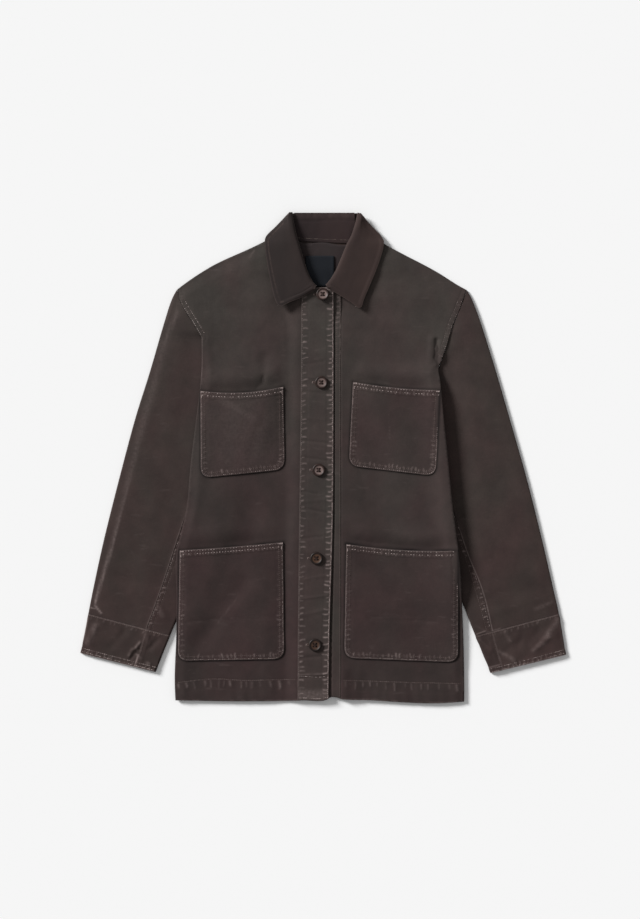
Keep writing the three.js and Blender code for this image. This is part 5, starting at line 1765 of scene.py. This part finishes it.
def leaf_grid(side, rows=64):
    """Middle surface of a collar leaf: from the cloth that rolls under, round the roll and out to the edge."""
    leaf = LEAF[side]
    count = len(leaf["seat"])
    place = np.linspace(0, count - 1, rows)
    s = {name: hermite(np.arange(count, dtype=float), column, place) for name, column in leaf.items()}
    width = np.hypot(s["edge_x"] - s["roll_x"], s["edge_y"] - s["roll_y"])
    half = COLLAR_CLOTH / 2
    bend = np.minimum(3.2, width * 0.3)
    start = half + bend * 1.6
    knots_away = [np.minimum(8, width * 0.55), half + bend * 0.7, np.full(rows, half), half + bend * 0.7, start]
    knots_up = [s["seat"], s["seat"] + 0.1, (s["seat"] + s["crest"]) / 2, s["crest"] - 0.35, s["crest"]]
    for share in (0.3, 0.6, 0.85, 1):
        height = s["crest"] + (s["edge"] - s["crest"]) * (smooth(share * 0.9) * 0.6 + share * 0.4)
        knots_away.append(start + (np.maximum(start + 1, width) - start) * share)
        knots_up.append(height)
    away = np.stack(knots_away, 1)
    up = np.stack(knots_up, 1)
    knots = np.array([0, 0.5, 1, 1.5, 2, 3.4, 5.2, 6.4, 7.2])
    wanted = np.concatenate([np.linspace(0, 2, 13), np.linspace(2.2, 7.2, 26)])
    away = np.stack([hermite(knots, row, wanted) for row in away])
    up = np.stack([hermite(knots, row, wanted) for row in up])
    share = away / width[:, None]
    x = s["roll_x"][:, None] + (s["edge_x"] - s["roll_x"])[:, None] * share
    y = s["roll_y"][:, None] + (s["edge_y"] - s["roll_y"])[:, None] * share
    from_edge = width[:, None] - away
    return np.stack([x, y, up], 2), from_edge


def make_leaf(side):
    grid, from_edge = leaf_grid(side)
    turned = side == "left"
    x, y = grid[..., 0], grid[..., 1]
    _, away = nearest(x.ravel(), y.ravel(), curve(grid[:, -1, :2]))
    away = np.abs(away).reshape(x.shape)
    on_top = np.arange(x.shape[1]) >= 13
    seam = 6.4
    groove = bell(away - seam, 1.1) * on_top
    swell = smooth((away - 0.4) / 2.0) * smooth((seam - away) / 1.6)
    height = 0.35 * swell * on_top - 0.3 * groove
    height += (0.16 * rumple(x, y, 30, 81) + 0.06 * rumple(x, y, 12, 82)) * on_top
    wear = 0.3 * bell(away, 0.9) * on_top
    # a painted highlight along the topstitch ridge of the right leaf
    if side == "right":
        wear = np.maximum(wear, 0.4 * bell(away - seam + 1.2, 0.9) * on_top * (x < -60))
    piece = cloth_from_grid(f"collar_leaf_{side}_cloth", grid, height, wear, COLLAR_CLOTH, turned=turned)
    finish_grid(piece, grid, "collar_leaf_" + side, "collar_cloth")


def make_stand():
    up = np.linspace(0, 1, 22)
    z = hermite(np.array([0, 0.3, 0.65, 0.9, 1]), np.array([2.1, 3.6, 4.8, 5.2, 4.9]), up)
    across = np.linspace(-1, 1, 60)
    neck = np.array(BACK_NECK)
    seam_x = across * 47
    seam_y = np.interp(seam_x, neck[:, 0], neck[:, 1]) + SEAM
    grid = np.empty((len(up), len(across), 3))
    for row, share in enumerate(up):
        grid[row, :, 0] = seam_x + (across * 45 - seam_x) * share
        grid[row, :, 1] = seam_y + (367 - seam_y) * share
        grid[row, :, 2] = z[row]
    x, y = grid[..., 0], grid[..., 1]
    crease_y = 355.5 + 1.2 * np.sin(x / 14)
    height = -0.4 * bell(y - crease_y, 1.6) + 0.15 * rumple(x, y, 18, 91)
    height += 0.3 * bell(y - seam_y[None] - 1.6, 1.2)
    height += 0.35 * smooth((y - 355) / 3) * rumple(x, y * 0.3, 14, 93)
    top_wear = 0.22 * smooth((y - 357) / 5) * np.clip(0.4 + rumple(x, y * 0.3, 12, 92), 0, 1)
    piece = cloth_from_grid("collar_stand_cloth", grid, height, top_wear)
    finish_grid(piece, grid, "collar_stand", "collar_inner")
    sewing = Threads("collar_stand_sewing", "collar_inner", 0.25)
    line = grid[2, 3:-3] + np.array([0, 0, CLOTH / 2 + 0.1])
    sewing.row(line)
    sewing.build()


def make_fall():
    rows = table("y z half", (308, 0.6, 84), (330, 0.6, 86), (348, 0.7, 70), (360, 1.6, 58), (366.6, 2.9, 52))
    y = np.linspace(308, 366.6, 24)
    z = np.interp(y, rows["y"], rows["z"])
    half = np.interp(y, rows["y"], rows["half"])
    across = np.linspace(-1, 1, 50)
    x = half[:, None] * across[None]
    grid = np.stack([x, np.broadcast_to(y[:, None], x.shape), np.broadcast_to(z[:, None], x.shape)], 2)
    nothing = np.zeros(x.shape)
    piece = cloth_from_grid("collar_fall_back_cloth", grid, nothing, nothing)
    finish_grid(piece, grid, "collar_fall_back", "collar_cloth")


def make_label():
    """The woven neck label, bare, with its turned ends."""
    half = 43.5 / 2
    middle = -6.5
    left, right = middle - half, middle + half
    low, high = 257, 302.8
    outline = joined(straight([(left, low), (right, low), (right, high), (left, high), (left, low)]))

    def seat(x, y):
        return back_height(x, y) + CLOTH / 2 + SEAM

    def top(x, y):
        ends = np.minimum(x - left, right - x)
        turned_end = smooth((4.5 - ends) / 0.6)
        return seat(x, y) + LABEL_CLOTH + 0.25 * turned_end + 0.1 * rumple(x, y, 24, 95)

    piece = shell("neck_label_cloth", outline, top, seat, 2.2, everywhere(1))
    finish_cut(piece, "neck_label", "label_cloth", outline)


# The buttons.

BUTTON_SLOTS = dict(zip(BUTTONS, ["button_light"] * 3 + ["button_dark"] * 2))
BUTTON_TILT = {"button_1": -0.1}
BUTTON_PALE = dict(zip(BUTTONS, (0.9, 0.85, 1.0, 1.3, 0.7)))  # how pale each one's dish is painted against its dark rim


BUTTON_RADIUS = 9.5
BUTTON_PROFILE = [  # reach as a share of the radius, and height, round the edge from below
    (0.78, 0), (0.9, 0.35), (0.985, 1.1), (1, 1.7), (0.985, 2.3), (0.94, 2.85), (0.885, 3.2), (0.82, 3.14),
    (0.76, 2.9), (0.69, 2.5), (0.6, 2.2), (0.48, 2.03), (0.38, 1.97), (0.34, 1.95),
]
HOLE = 1.3
HOLE_PLACE = 2.1  # from the middle, across and along


def drilled_button():
    """Mesh of a button with its four holes, made at the origin."""
    SEGMENTS = 48
    HOLE_SIDES = 16
    rings = [circle(BUTTON_RADIUS * reach, z, SEGMENTS) for reach, z in BUTTON_PROFILE]
    disc = new_mesh("button_blank", np.concatenate(rings), tube_faces(len(rings), SEGMENTS))
    points = []
    faces = []
    for x in (-HOLE_PLACE, HOLE_PLACE):
        for y in (-HOLE_PLACE, HOLE_PLACE):
            faces += [[len(points) * HOLE_SIDES + v for v in face] for face in tube_faces(2, HOLE_SIDES)]
            points += [circle(HOLE, z, HOLE_SIDES, (x, y)) for z in (-2, 6)]
    drill = new_mesh("button_drill", np.concatenate(points), faces)
    cutter = disc.modifiers.new("holes", "BOOLEAN")
    cutter.operation = "DIFFERENCE"
    cutter.solver = "EXACT"
    cutter.object = drill
    bpy.context.view_layer.update()
    drilled = bpy.data.meshes.new_from_object(disc.evaluated_get(bpy.context.evaluated_depsgraph_get()))
    bpy.data.objects.remove(disc)
    bpy.data.objects.remove(drill)
    return drilled


def make_buttons():
    """Four-hole buttons with a raised, rounded rim and a dished middle, sewn through with thread."""
    drilled = drilled_button()
    for node in BUTTONS:
        x, y, z = button_middle(node)
        mesh = drilled.copy()
        tilt = BUTTON_TILT.get(node, 0.0)
        rise = BUTTON_RADIUS * abs(math.sin(tilt))
        place = Matrix.Translation((x * MM, y * MM, (z + 0.1 + rise) * MM))
        mesh.transform(place @ Matrix.Rotation(tilt, 4, "X"))
        mesh.shade_smooth()
        mesh.set_sharp_from_angle(angle=math.radians(40))
        piece = bpy.data.objects.new(node + "_nut", mesh)
        bpy.context.scene.collection.objects.link(piece)
        co = np.empty(len(mesh.vertices) * 3, np.float32)
        mesh.vertices.foreach_get("co", co)
        co = co.reshape(-1, 3) / MM
        reach = np.hypot(co[:, 0] - co[:, 0].mean(), co[:, 1] - y)
        # a button's wear attribute is its mask of painted light: pale dish, dark rim and middle
        set_wear_and_painted_light(mesh, BUTTON_PALE[node] * smooth((reach - 2.0) / 1.2) * smooth((7.0 - reach) / 1.1))
        mesh.materials.clear()
        mesh.materials.append(materials[BUTTON_SLOTS[node]])
        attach(piece, "root")
        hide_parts(node)
        sewn = Threads(node + "_thread", BUTTON_SLOTS[node], 0.42)
        for side in (-HOLE_PLACE, HOLE_PLACE):
            for shift in (-0.35, 0.35):
                start = np.array([[x - HOLE_PLACE, y + side + shift, z + 2.15 + rise]])
                sewn.starts.append(start)
                sewn.ends.append(start + np.array([2 * HOLE_PLACE, 0, 0]))
                sewn.worn.append(np.zeros(1))
        sewn.build()


# Sewing on the body.


def make_body_sewing():
    for side, worn, low, high in (("right", 0.42, -221, -41), ("left", 0.2, 27, 207)):
        sewing = Threads(f"front_{side}_sewing", "canvas_body")

        def top(x, y):
            return front_top(x, y, side)

        armhole = curve(ARMHOLE[side])[7:-1]
        for row in (1.2, 7):
            sewing.row(surface_line(offset(armhole, -OUTWARDS[side] * row), top), worn)
        line = HEM_STITCH[(HEM_STITCH[:, 0] > low) & (HEM_STITCH[:, 0] < high)]
        sewing.row(surface_line(line, top), 0.12)
        sewing.build()


# Floor, light and camera.

ROOM_LIGHT = 0.36  # share of the light that comes from all round
WINDOW_HEIGHT = 23  # degrees above the floor
WINDOW_SIDE = 56  # degrees from straight behind the collar, towards the wearer's right
WINDOW_SIZE = 16


def make_stage():
    half = 4000
    corners = [(-half, -half, 0), (half, -half, 0), (half, half, 0), (-half, half, 0)]
    floor = new_mesh("floor", corners, [[0, 1, 2, 3]])
    pale = bpy.data.materials.new("pale_floor")
    pale.use_nodes = True
    shader = pale.node_tree.nodes["Principled BSDF"]
    shader.inputs["Base Color"].default_value = (0.92, 0.92, 0.92, 1)
    shader.inputs["Roughness"].default_value = 0.9
    shader.inputs["Specular IOR Level"].default_value = 0.1
    floor.data.materials.append(pale)
    floor.location.z = -0.0002

    world = bpy.data.worlds.new("soft_room")
    bpy.context.scene.world = world
    world.use_nodes = True
    world.node_tree.nodes["Background"].inputs["Color"].default_value = (1, 1, 1, 1)
    world.node_tree.nodes["Background"].inputs["Strength"].default_value = ROOM_LIGHT

    sun = bpy.data.lights.new("window", "SUN")
    height = math.radians(WINDOW_HEIGHT)
    sun.energy = math.pi * (1 - ROOM_LIGHT) / math.sin(height)
    sun.angle = math.radians(WINDOW_SIZE)
    lamp = bpy.data.objects.new("window", sun)
    bpy.context.scene.collection.objects.link(lamp)
    side = math.radians(WINDOW_SIDE)
    reach = math.cos(height)
    towards = Vector((reach * math.sin(side), -reach * math.cos(side), -math.sin(height)))
    lamp.rotation_euler = towards.to_track_quat("-Z", "Y").to_euler()


def make_camera():
    """Straight down, framed as the photo is: 640 by 919 pixels at 1.5 mm each."""
    MM_PER_PIXEL = 1.5
    HEIGHT = 3.0
    SENSOR = 36.0
    MIDDLE = (-6.45, -2.4)
    data = bpy.data.cameras.new("camera")
    data.sensor_width = SENSOR
    data.lens = SENSOR * HEIGHT / (919 * MM_PER_PIXEL * MM)
    data.clip_end = 100
    camera = bpy.data.objects.new("camera", data)
    camera.location = (MIDDLE[0] * MM, MIDDLE[1] * MM, HEIGHT)
    bpy.context.scene.collection.objects.link(camera)
    bpy.context.scene.camera = camera


make_camera()
make_materials()
make_back()
make_front("right")
make_front("left")
make_button_band()
make_placket()
for pocket_name in POCKETS:
    make_pocket(pocket_name)
for sleeve_side in ("right", "left"):
    make_sleeve(sleeve_side)
    make_leaf(sleeve_side)
make_stand()
make_fall()
make_label()
make_buttons()
make_body_sewing()
make_stage()
bpy.context.scene.view_settings.view_transform = "Standard"
